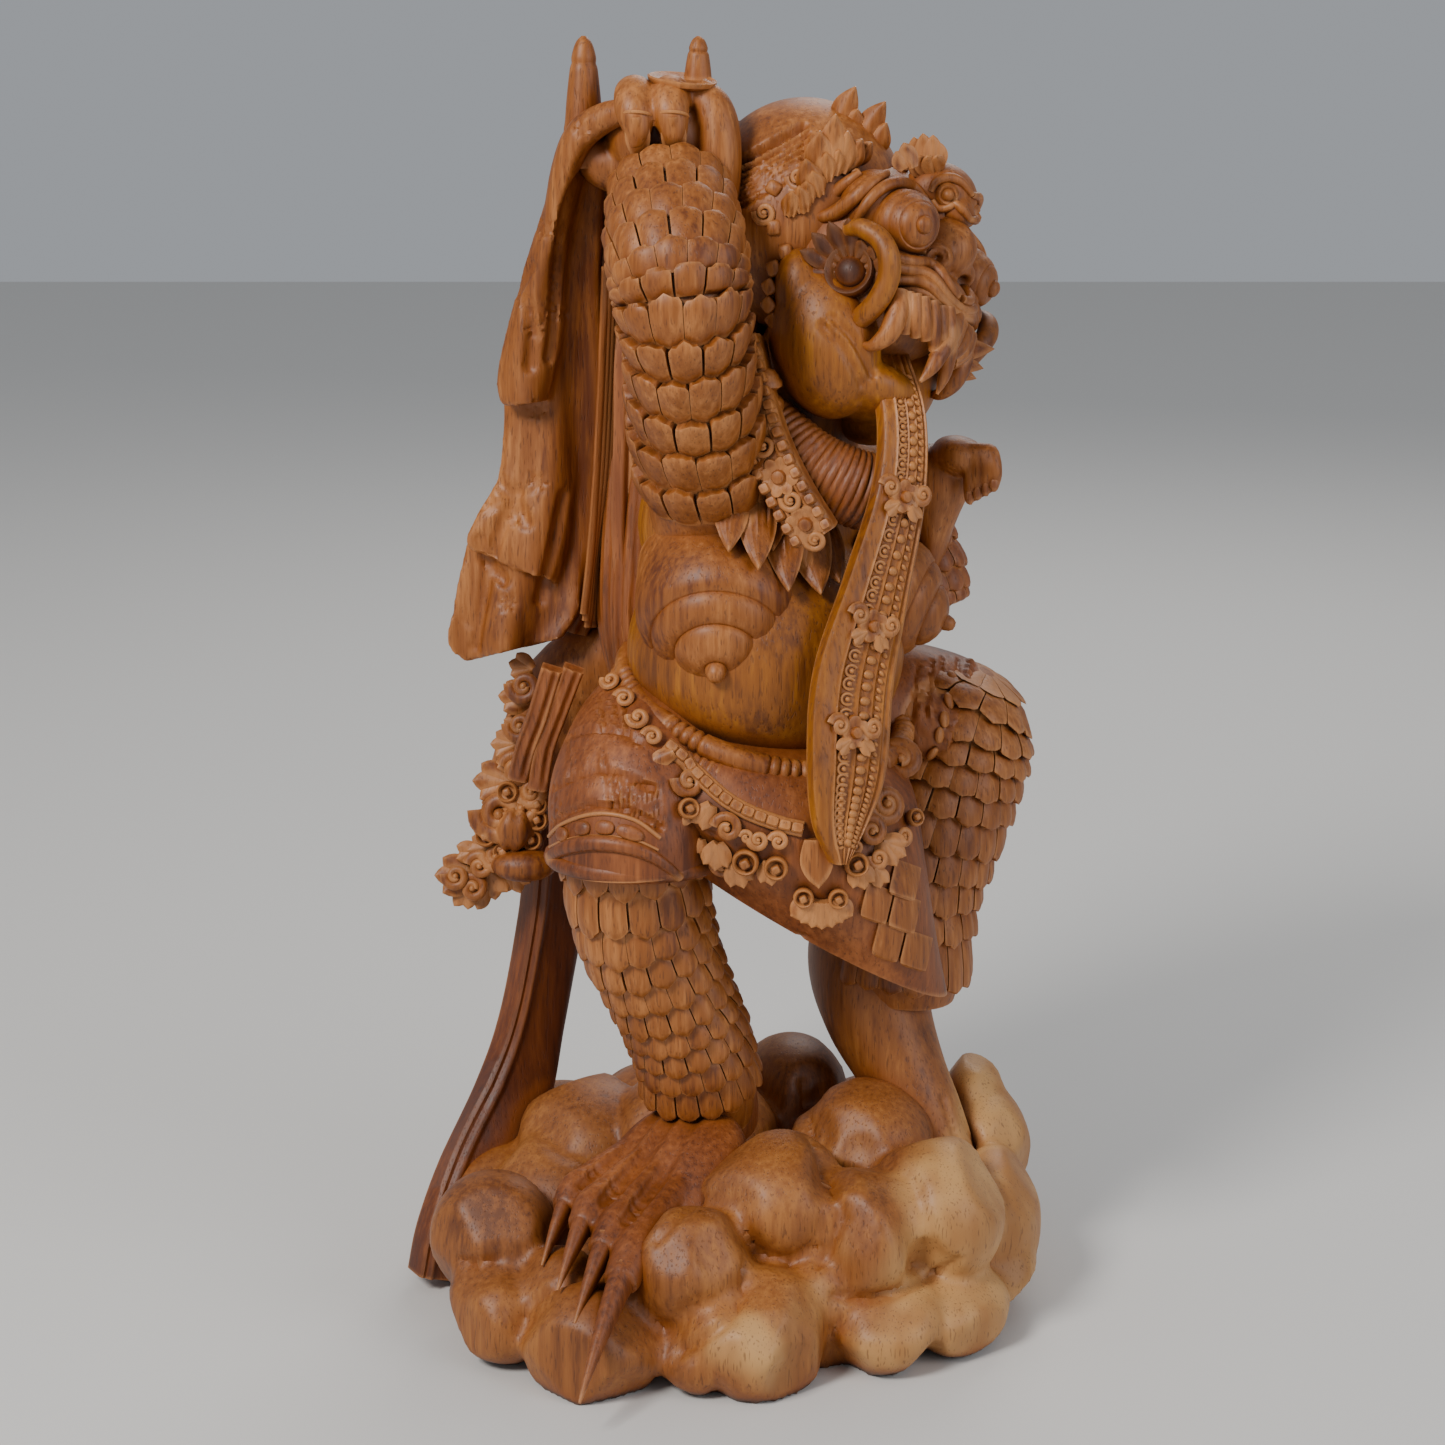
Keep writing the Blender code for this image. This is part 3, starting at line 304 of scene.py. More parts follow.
def scales(stations, across, rows, lip, cut=False, gap=0.95, sunk=-0.9):
    """Rows of overlapping scales around a limb, each a plate of its own; a row is its start, end and count."""
    over = 0.18  # how far a scale reaches up under the row above, as a share of its row
    last = 239
    run = course(stations, last + 1)
    along, side, other = directions(run[:, :3], np.asarray(across, float))
    length = np.linalg.norm(np.diff(run[:, :3], axis=0), axis=1).sum()
    drop = np.array([0.0, 0.3, 0.58, 0.78, 0.90, 0.97, 1.0])[:, None]
    wide = np.array([-1.0, -0.6, 0.0, 0.6, 1.0])[None, :]
    if cut:
        narrow = np.array([1.0, 1.0, 1.0, 1.0, 0.97, 0.80, 0.55])[:, None]
        bend = 0.10 * np.abs(wide) * drop ** 5
    else:
        narrow = np.array([1.0, 1.0, 1.0, 1.0, 0.95, 0.84, 0.62])[:, None]
        bend = 0.15 * wide ** 2 * drop ** 4
    shells = []
    for number, (start, end, count) in enumerate(rows):
        for k in range(count):
            middle = (k + 0.5 * (number % 2) + 0.05 * math.sin(7.0 * k + 3.1 * number)) / count * 2 * math.pi
            grow = 1 + 0.04 * math.sin(2.3 * k + 1.7 * number)
            t = start + (end - start) * ((1 + over) * drop * grow - over - bend)
            i = (np.clip(t, 0, 1) * last).astype(int)
            angle = middle + wide * narrow * math.pi / count * gap
            raised = sunk + (lip - sunk) * drop ** 0.8 + 0.15 * math.sin(5 * k + number)
            layers = []
            for lift in (raised + 0.9 * (1 - wide ** 2) + 0.5 * np.sin(math.pi * drop) - 0.8 * drop ** 12,
                         np.full((7, 5), sunk - 1.3)):
                spot = run[i, :3] + side[i] * ((run[i, 3] + lift) * np.cos(angle))[..., None]
                spot = spot + other[i] * ((run[i, 4] + lift) * np.sin(angle))[..., None]
                layers.append(spot + along[i] * (np.maximum(t - 1, 0) * length)[..., None])
            shells.append(plate(layers[0], layers[1]))
    return shells


def laid_scales(ground, area, start, step, down, rows, columns):
    """Squarish scales laid on a skin inside an area of the photograph, in rows a step apart."""
    lip, deepest = 2.2, 16
    area = [np.array(corner, float) for corner in area]
    start, step, down = (np.array(value, float) for value in (start, step, down))
    shells = []
    for row in rows:
        for column in columns:
            centre = start + step * (column + 0.28 * (row % 2)) + down * row
            crossings = 0
            for a, b in zip(area, area[1:] + area[:1]):
                if ((a[1] > centre[1]) != (b[1] > centre[1])
                        and centre[0] < a[0] + (centre[1] - a[1]) * (b[0] - a[0]) / (b[1] - a[1])):
                    crossings += 1
            if crossings % 2 == 0:
                continue
            outer, inner, whole = np.zeros((6, 5, 3)), np.zeros((6, 5, 3)), True
            for i, t in enumerate((-0.62, -0.3, 0.05, 0.32, 0.44, 0.50)):
                for j, u in enumerate((-0.46, -0.28, 0.0, 0.28, 0.46)):
                    narrow = 1.0 if i < 4 else (0.94 if i == 4 else 0.72)
                    spot, out = landed(ground, *(centre + step * u * narrow + down * t))
                    if spot is None:
                        whole = False
                        continue
                    out = unit(out * 0.5 - SIGHT * 0.5)
                    rise = (lip * (0.15 + 0.85 * (i / 5) ** 0.7) + 0.5 * (1 - (2 * u) ** 2)
                            - (0.7 if i == 5 else 0))
                    outer[i, j], inner[i, j] = spot + out * rise, spot - out * 1.5
            if whole and np.ptp(outer[..., 1]) < deepest:
                shells.append(plate(outer, inner))
    return shells


def leaf(root, lean, face, length, width, thick=1.6, curl=0.0, grooves=2, point=1.0):
    """A pointed leaf, flame or lock of hair: grooved along its length and curling towards its face."""
    lean, face = unit(lean), np.asarray(face, float)
    face = unit(face - lean * (face @ lean))
    side = np.cross(lean, face)
    v = np.linspace(0, 1, 11)
    u = np.linspace(-1, 1, 9 if grooves < 3 else 17)
    wide = width * (0.62 + 0.38 * np.sin(math.pi * v * 0.9)) * (1 - v ** (2.2 * point)) ** 0.8 + 0.15
    ridge = thick * (1 - 0.75 * u ** 2)[None, :] * (0.35 + 0.65 * (1 - v))[:, None]
    ridge += (0.12 + 0.12 * thick) * np.cos(u * math.pi * grooves)[None, :] * (1 - v)[:, None]
    bend = curl * v ** 2
    base = np.asarray(root) + lean * (v * length)[:, None] + face * bend[:, None]
    outer = base[:, None] + side * (u[None, :] * wide[:, None])[..., None] + face * ridge[..., None]
    inner = (base[:, None] + side * (u[None, :] * wide[:, None] * 0.9)[..., None]
             - face * (thick * 0.5 * (1 - 0.6 * v))[:, None, None])
    return plate(outer, inner)


def blade(ground, root, tip, width, thick, curl, grooves, point, ahead=0.0):
    """A leaf or flame whose root and tip are where the photograph shows them."""
    spot, out = landed(ground, root[0], root[1], -0.8)
    if spot is None:
        spot, out = seen(root[0], root[1], -25.0), -SIGHT
    end = seen(tip[0], tip[1], spot[1] - ahead)
    return leaf(spot, end - spot, out * 0.4 - SIGHT * 0.6, np.linalg.norm(end - spot), width, thick, curl,
                grooves, point)


def fan(spot, lean, face, size, lobes, spread=0.5):
    """A leaf of several rounded lobes."""
    lean, face = unit(lean), unit(face)
    side = np.cross(face, lean)
    parts = []
    for k in range(lobes):
        turn = (k - (lobes - 1) / 2) * spread
        way = lean * math.cos(turn) + side * math.sin(turn)
        parts.append(leaf(spot - lean * size * 0.2, way, face, size * (1.15 - 0.18 * abs(turn)), size * 0.36,
                          size * 0.22, size * 0.10, 1, 2.6))
    return parts


def scroll(centre, face, size, turns, thick=0.24, hand=1):
    """A carved scroll: a tapered roll that winds in to a raised boss."""
    face = unit(face)
    side = unit(np.cross(face, (0.2, 0.3, 1.0)))
    other = np.cross(face, side) * hand
    t = np.linspace(0, 1, 26)
    angle = t * turns * 2 * math.pi
    reach = size * (1 - 0.80 * t)
    path = (np.asarray(centre) + side * (reach * np.cos(angle))[:, None]
            + other * (reach * np.sin(angle))[:, None])
    path = path + face * (size * 0.25 * t)[:, None]
    body = size * thick * (1 - 0.45 * t)
    rolls = np.hstack([path, body[:, None], (body * 1.35)[:, None]])
    boss = egg(np.asarray(centre) + face * size * 0.22, (size * 0.26, size * 0.26, size * 0.30),
               face, side, 10, 7)
    return [limb(rolls, face, 8, 26), boss]


def flower(centre, face, size, petals):
    """A carved flower: round petals about a boss."""
    face = unit(face)
    side = unit(np.cross(face, (0.2, 0.3, 1.0)))
    other = np.cross(face, side)
    angle = np.linspace(0, 2 * math.pi, petals * 6, endpoint=False)
    edge = size * (0.80 + 0.20 * np.abs(np.cos(angle * petals / 2)))
    rings = []
    for share, rise in ((1.0, -0.7), (1.0, 0.0), (0.94, 0.30), (0.70, 0.36), (0.42, 0.10), (0.36, 0.12),
                        (0.28, 0.55), (0.12, 0.66)):
        crease = 1 - (0.5 if 0.5 < share < 0.96 else 0.0) * (1 - np.abs(np.cos(angle * petals / 2)))
        out = edge * share if share > 0.4 else size * share * np.ones_like(angle)
        height = rise * 0.5 * size * crease
        rings.append(np.asarray(centre) + side * (out * np.cos(angle))[:, None]
                     + other * (out * np.sin(angle))[:, None] + face * height[:, None])
    return skin(np.array(rings))


def cup(spot, out, size):
    """An open cup with a square boss in it."""
    rim = [(0, 0.15), (0.5, 0.12), (0.62, 0.18), (0.72, 0.50), (0.86, 0.62), (1.0, 0.45), (1.04, 0.1),
           (0.95, -0.5), (0.6, -1.1), (0, -1.2)]
    boss = egg(spot + unit(out) * size * 0.45, (size * 0.36, size * 0.36, size * 0.5),
               out, (0.8, 0, 0.4), 12, 9, 0.45)
    return [turned(spot, out, [(r * size, h * size) for r, h in rim], 26), boss]


def strung(points, face, wide, long, high, square, count):
    """Beads one after another along a run of points, evenly spread."""
    points = np.asarray(points, float)
    gaps = np.linalg.norm(np.diff(points, axis=0), axis=1)
    total = gaps.sum()
    way = np.concatenate([[0], np.cumsum(gaps)])
    shells = []
    for i in range(count):
        place = np.array([np.interp((i + 0.5) / count * total, way, points[:, k]) for k in range(3)])
        ahead = np.array([np.interp((i + 0.9) / count * total, way, points[:, k]) for k in range(3)])
        shells.append(egg(place, (long, wide, high), face, ahead - place, 10, 6, square))
    return shells


def draped(left, right, depth, bulge, folds, rows=90, cols=70, thick=6):
    """A hanging cloth between two lines of the photograph; folds raise it towards the viewer."""
    left, right = course(left, rows), course(right, rows)
    u = np.linspace(0, 1, cols)
    v = np.linspace(0, 1, rows)
    grid = np.zeros((rows, cols, 3))
    for r in range(rows):
        lift = (np.interp(v[r], np.linspace(0, 1, len(depth)), depth)
                - bulge * np.sin(math.pi * (0.08 + 0.84 * u)) - folds(u, v[r]))
        for c in range(cols):
            across, down = left[r] * (1 - u[c]) + right[r] * u[c]
            grid[r, c] = seen(across, down, lift[c])
    return plate(grid, grid + np.array([0.2, 1.0, 0.0]) * thick)


def laid(ground, pixels, steps, lift):
    """A line of the photograph laid on a skin: its places and the ways out there, evened out."""
    furthest = 9  # a longer step has left the surface
    spots, outs = [], []
    for across, down in course(pixels, steps):
        spot, out = landed(ground, across, down, lift)
        if spot is not None and (not spots or np.linalg.norm(spot - spots[-1]) < furthest):
            spots.append(spot)
            outs.append(out)
    spots, outs = np.array(spots), np.array(outs)
    for turn in range(2):
        spots[1:-1] = spots[1:-1] * 0.5 + (spots[:-2] + spots[2:]) * 0.25
        outs[1:-1] = outs[1:-1] * 0.5 + (outs[:-2] + outs[2:]) * 0.25
    return spots, outs


def cord(ground, pixels, wide, high, lift, steps=26):
    """A carved cord laid along a line of the photograph; high is its height as a share of its width."""
    spots, outs = laid(ground, pixels, steps, lift)
    wide = np.interp(np.linspace(0, 1, len(spots)), np.linspace(0, 1, len(np.atleast_1d(wide))),
                     np.atleast_1d(wide))
    run = np.hstack([spots, (wide * high)[:, None], wide[:, None]])
    return limb(run, outs.mean(0), 12, int(len(spots) * 1.4))


def on_both(shells):
    """Shells and their mirror images on the other half of the head."""
    result = list(shells)
    for points, faces in shells:
        result.append((np.array([mirrored(point) for point in points]), faces))
    return result


def gathered(shells):
    """Shells put together as one set of points and faces."""
    points, faces, count = [], [], 0
    for spots, sides in shells:
        points.append(spots)
        faces.extend([tuple(i + count for i in side) for side in sides])
        count += len(spots)
    return np.vstack(points), faces


def carve(name, shells, finish, grain=None, soften=0, relief=(), sharp=42):
    """One piece: its shells, blended into one skin where a grain is given, then cut and smoothed."""
    points, faces = gathered(shells)
    mesh = bpy.data.meshes.new(name)
    mesh.from_pydata(((points + AXIS) / METRE).tolist(), [], faces)
    bm = bmesh.new()
    bm.from_mesh(mesh)
    bmesh.ops.recalc_face_normals(bm, faces=bm.faces)
    bm.to_mesh(mesh)
    bm.free()
    piece = bpy.data.objects.new(name, mesh)
    bpy.context.scene.collection.objects.link(piece)
    bpy.ops.object.select_all(action="DESELECT")
    piece.select_set(True)
    bpy.context.view_layer.objects.active = piece
    if grain:
        blend = piece.modifiers.new("blend", "REMESH")
        blend.mode = "VOXEL"
        blend.voxel_size = grain / METRE
        bpy.ops.object.modifier_apply(modifier=blend.name)
    if soften:
        smooth = piece.modifiers.new("soften", "SMOOTH")
        smooth.factor = 0.5
        smooth.iterations = soften
        bpy.ops.object.modifier_apply(modifier=smooth.name)
    for lines, width, depth in relief:
        gouge(piece, lines, width, depth)
    bpy.ops.object.shade_smooth_by_angle(angle=math.radians(sharp))
    piece.data.materials.append(finish)
    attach(piece, "root")
    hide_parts("rangda_statue")
    return piece


def gouge(piece, lines, width, depth):
    """Cut a round groove along each line, or raise a ridge where the depth is negative; both in millimetres."""
    mesh = piece.data
    count = len(mesh.vertices)
    spots = np.empty(count * 3)
    mesh.vertices.foreach_get("co", spots)
    spots = spots.reshape(-1, 3) * METRE - AXIS
    ways = np.array([v.normal[:] for v in mesh.vertices])
    move = np.zeros(count)
    ground = cover(piece) if any(len(line[0]) == 2 for line in lines) else None
    for line in lines:
        line = np.asarray(line, float)
        if line.shape[1] == 2:
            line = course(line, max(2, len(line) * 6)) if len(line) > 1 else line
            line = np.array([spot for spot in (landed(ground, *mark)[0] for mark in line) if spot is not None])
            if not len(line):
                continue
        elif len(line) > 1:
            steps = max(2, int(np.linalg.norm(np.diff(line, axis=0), axis=1).sum() / (width * 0.35)))
            line = course(line, steps)
        low, high = line.min(0) - width, line.max(0) + width
        near = np.where(((spots > low) & (spots < high)).all(1))[0]
        if not len(near):
            continue
        gap = np.full(len(near), 1e9)
        for point in line:
            gap = np.minimum(gap, ((spots[near] - point) ** 2).sum(1))
        share = np.clip(1 - gap / width ** 2, 0, 1) ** 1.3
        move[near] = np.maximum(move[near], share)
    spots = spots - ways * (move * depth)[:, None]
    mesh.vertices.foreach_set("co", ((spots + AXIS) / METRE).ravel())
    mesh.update()


def srgb(code):
    """An sRGB hex colour as linear values."""
    values = [int(code[i:i + 2], 16) / 255 for i in (1, 3, 5)]
    return tuple(v / 12.92 if v <= 0.04045 else ((v + 0.055) / 1.055) ** 2.4 for v in values) + (1.0,)


def node(tree, kind, inputs=None, **settings):
    """Add a node with its settings, and set or link its inputs."""
    new = tree.nodes.new(kind)
    for key, value in settings.items():
        setattr(new, key, value)
    for socket, value in (inputs or {}).items():
        if isinstance(value, bpy.types.NodeSocket):
            tree.links.new(value, new.inputs[socket])
        else:
            new.inputs[socket].default_value = value
    return new


def streaks(tree, place, wide, long, detail, rough):
    """Noise drawn out along the upright grain; wide and long are the size of a streak in millimetres."""
    spread = node(tree, "ShaderNodeMapping", {"Vector": place,
                                              "Scale": (METRE / wide, METRE / wide, METRE / long)})
    return node(tree, "ShaderNodeTexNoise", {"Vector": spread.outputs[0], "Scale": 1.0, "Detail": detail,
                                             "Roughness": rough}).outputs[0]


def step_up(tree, value, low, high):
    """0 below low, 1 above high, and smooth between."""
    return node(tree, "ShaderNodeMapRange", {"Value": value, "From Min": low, "From Max": high},
                interpolation_type="SMOOTHSTEP").outputs[0]


def mixed(tree, share, first, second):
    """One colour passing into another by a share."""
    blend = node(tree, "ShaderNodeMix", {0: share}, data_type="RGBA", blend_type="MIX")
    for socket, value in ((6, first), (7, second)):
        if isinstance(value, bpy.types.NodeSocket):
            tree.links.new(value, blend.inputs[socket])
        else:
            blend.inputs[socket].default_value = value
    return blend.outputs[2]


def maths(tree, kind, first, second):
    """Two values put together by one operation."""
    return node(tree, "ShaderNodeMath", {0: first, 1: second}, operation=kind).outputs[0]


def wood(name, light, middle, dark, sapwood=False, edge="#d9975c", hollow_shade="#2a0b02"):
    """Waxed hardwood, upright grain: broad tones, streaks, short pores, painted shade in hollows, painted edge
    highlights.

    Carved smooth, rubbed and waxed, so it has a soft shine. The real pores are 0.2 to 0.3 mm wide, too
    fine to show, so they are drawn twice as coarse.
    """
    shine = 0.46
    finish = bpy.data.materials.new(name)
    finish.use_nodes = True
    tree = finish.node_tree
    tree.nodes.clear()
    place = node(tree, "ShaderNodeTexCoord").outputs["Object"]
    broad = streaks(tree, place, 26, 70, 3.0, 0.55)
    grain = streaks(tree, place, 1.9, 34, 4.0, 0.6)
    pores = streaks(tree, place, 0.62, 5.5, 1.0, 0.4)
    tone = maths(tree, "ADD", maths(tree, "MULTIPLY", broad, 0.62), maths(tree, "MULTIPLY", grain, 0.50))
    colour = mixed(tree, step_up(tree, tone, 0.38, 0.56), srgb(dark), srgb(middle))
    colour = mixed(tree, step_up(tree, tone, 0.53, 0.74), colour, srgb(light))
    if sapwood:
        # The outside of the block is sapwood: the rim of the rocks is pale cream, with brown patches.
        axes = node(tree, "ShaderNodeSeparateXYZ", {"Vector": place})
        out = maths(tree, "SQRT", maths(tree, "ADD", maths(tree, "MULTIPLY", axes.outputs[0], axes.outputs[0]),
                                        maths(tree, "MULTIPLY", axes.outputs[1], axes.outputs[1])), 0.0)
        patch = streaks(tree, place, 38, 52, 2.0, 0.5)
        reach = maths(tree, "ADD", out, maths(tree, "MULTIPLY", maths(tree, "SUBTRACT", patch, 0.5), 0.10))
        reach = maths(tree, "ADD", reach, maths(tree, "MULTIPLY", axes.outputs[0], 0.26))
        pale = mixed(tree, step_up(tree, broad, 0.35, 0.68), srgb("#a06a34"), srgb("#c99a60"))
        colour = mixed(tree, maths(tree, "MULTIPLY", step_up(tree, reach, 0.090, 0.112), 0.88), colour, pale)
    specks = step_up(tree, pores, 0.60, 0.72)
    colour = mixed(tree, maths(tree, "MULTIPLY", specks, 0.45), colour, srgb("#3a1606"))
    # Painted shade, partly the wax stain that collects in recesses: where the occlusion node finds the wood
    # closed in, in recesses and where parts meet, the colour goes towards a shade brown and, deepest, towards a
    # near black.
    inside = node(tree, "ShaderNodeAmbientOcclusion", {"Distance": 0.007}, samples=6,
                  only_local=False).outputs["AO"]
    shaded = maths(tree, "SUBTRACT", 1.0, step_up(tree, inside, 0.45, 0.97))
    colour = mixed(tree, maths(tree, "MULTIPLY", shaded, 0.72), colour, srgb("#8f4a0a"))
    deep_shade = maths(tree, "SUBTRACT", 1.0, step_up(tree, inside, 0.08, 0.62))
    colour = mixed(tree, maths(tree, "MULTIPLY", deep_shade, 0.90), colour, srgb(hollow_shade))
    # Painted highlight: the inward occlusion node picks out thin and convex edges, and these are lightened
    # towards the edge colour as if light caught them.
    convex_edges = node(tree, "ShaderNodeAmbientOcclusion", {"Distance": 0.0016}, samples=4, inside=True,
                only_local=True).outputs["AO"]
    edge_highlight = maths(tree, "MULTIPLY", maths(tree, "SUBTRACT", 1.0, step_up(tree, convex_edges, 0.35, 0.90)), 0.42)
    colour = mixed(tree, edge_highlight, colour, srgb(edge))
    rise = maths(tree, "SUBTRACT", maths(tree, "MULTIPLY", grain, 0.5), specks)
    bump = node(tree, "ShaderNodeBump", {"Height": rise, "Strength": 0.35, "Distance": 0.00022})
    gloss = node(tree, "ShaderNodeMapRange", {"Value": grain, "To Min": shine - 0.05,
                                              "To Max": shine + 0.12}).outputs[0]
    surface = node(tree, "ShaderNodeBsdfPrincipled",
                   {"Base Color": colour, "Roughness": gloss, "Normal": bump.outputs[0]})
    node(tree, "ShaderNodeOutputMaterial", {"Surface": surface.outputs[0]})
    return finish


# The block is one red-brown hardwood under wax. The eye sees it lighter where it is handled and lit, the lit
# part being painted light, amber where the wax lies thick on smooth skin, dark in the sash, darker in the ear
# plug as painted shade, and cream in the sapwood.
brown = wood("waxed_hardwood", "#9f5c2c", "#7c4017", "#512308")
deep = wood("waxed_hardwood_dark", "#7c4016", "#5d2a0a", "#3d1705")
golden = wood("waxed_hardwood_golden", "#b5733a", "#8d4f18", "#602c08")
amber = wood("waxed_hardwood_amber", "#b06d18", "#8c4f0b", "#623105")
sap = wood("waxed_sapwood_and_heartwood", "#a5682f", "#8a5020", "#65340f", sapwood=True, edge="#e0b584")
# A darker copy of the same wood, as painted shade: the ear plugs sit in shadow.
shadowed_wood = wood("waxed_hardwood_painted_shade", "#5c3116", "#43200d", "#2d1306", edge="#8a5a34")


def make_rocks():
    """The rounded boulders: those at the front lie where the photograph shows them."""
    reach_out, high = 110, 52  # the radius and height that the boulders' shares are of
    rim = 109.0  # no boulder stands out further
    settled = 0.0008  # metres: what is lower lies flat on the ground
    # Behind: angle, reach, rise and three radii, as shares of the base. In front: pixel, depth and three radii.
    behind = (
        (14, 0.70, 0.30, 0.27, 0.27, 0.56), (43, 0.70, 0.40, 0.29, 0.30, 0.58),
        (76, 0.70, 0.42, 0.29, 0.28, 0.62), (107, 0.68, 0.34, 0.30, 0.31, 0.60),
        (139, 0.70, 0.36, 0.30, 0.29, 0.58), (172, 0.69, 0.30, 0.28, 0.28, 0.56),
        (24, 0.44, 0.60, 0.26, 0.30, 0.48), (66, 0.42, 0.70, 0.26, 0.28, 0.48),
        (112, 0.44, 0.66, 0.28, 0.28, 0.50), (158, 0.42, 0.60, 0.28, 0.30, 0.46),
    )
    front = (
        (494, 1238, -42, 21, 22, 22), (504, 1304, -60, 18, 22, 16), (592, 1344, -82, 22, 22, 21),
        (640, 1300, -70, 14, 16, 16), (692, 1266, -76, 20, 18, 19), (752, 1334, -80, 26, 23, 21),
        (700, 1352, -84, 13, 15, 12), (771, 1196, -50, 25, 24, 19), (862, 1236, -56, 20, 22, 23),
        (934, 1210, -42, 23, 26, 24), (880, 1318, -64, 22, 22, 14), (946, 1296, -50, 21, 26, 13),
        (996, 1216, -16, 15, 26, 22), (985, 1256, -22, 17, 24, 14), (972, 1090, 26, 11, 15, 12),
        (986, 1140, 20, 15, 24, 20), (790, 1096, 30, 20, 22, 22), (590, 1132, 10, 24, 26, 17),
        (862, 1142, -10, 24, 24, 20), (700, 1136, 0, 28, 30, 20), (560, 1296, -66, 15, 18, 15),
        (560, 1190, -6, 24, 28, 20), (820, 1290, -64, 15, 16, 15),
    )
    shells = [egg((0, 2, 4), (84, 82, 36), around=72, rows=40)]
    for number, (angle, reach, rise, wide, deep_in, tall) in enumerate(behind):
        way = np.array([math.cos(math.radians(angle)), math.sin(math.radians(angle)), 0.0])
        centre = way * reach * reach_out + UP * rise * high
        radii = np.array((wide * reach_out, deep_in * reach_out, tall * high))
        shells.append(faceted(egg(centre, radii, UP + way * 0.25, np.cross(way, UP), 56, 34), centre, radii,
                              number * 1.9))
    for number, (across, down, depth, wide, deep_in, tall) in enumerate(front):
        lean = UP + np.array([0.25 * math.sin(number * 2.4), -0.25, 0.0])
        centre, radii = seen(across, down, depth), np.array((wide, deep_in, tall), float)
        shells.append(faceted(egg(centre, radii, lean, (1, 0.2 * math.sin(number), 0), 72, 44, 0.95), centre,
                              radii, number * 2.3))
    for points, faces in shells:
        points[:, 2] = np.maximum(points[:, 2], 0.0)
        reach = np.linalg.norm(points[:, :2], axis=1)
        points[:, :2] *= np.minimum(1.0, rim / np.maximum(reach, 1))[:, None]
    dents = [enlarged(400, 860, 0.4, line) for line in (
        [(1150, 740), (1210, 800), (1270, 900), (1300, 980)],
        [(1040, 560), (1020, 640), (1060, 730), (1090, 800)],
        [(690, 980), (740, 960), (770, 1010)], [(180, 1040), (260, 1010), (340, 1040)],
        [(930, 1190), (1000, 1240), (960, 1290)])]
    folds = [enlarged(400, 860, 0.4, line) for line in (
        [(865, 1010), (850, 1100), (800, 1170), (700, 1230)],
        [(1090, 1090), (1180, 1095), (1290, 1060), (1390, 1000)],
        [(330, 1110), (400, 1060), (470, 1040)], [(750, 850), (700, 890), (640, 950)],
        [(1100, 870), (1080, 960), (1050, 1010)],
        [(145, 1000), (190, 1010), (240, 1000)], [(1010, 560), (1030, 700), (1075, 820), (1110, 900)])]
    piece = carve("rocks", shells, sap, grain=2.0, soften=1, relief=((dents, 9.0, 2.2), (folds, 2.6, 1.8)))
    for vert in piece.data.vertices:
        if vert.co.z < settled:
            vert.co.z = 0.0


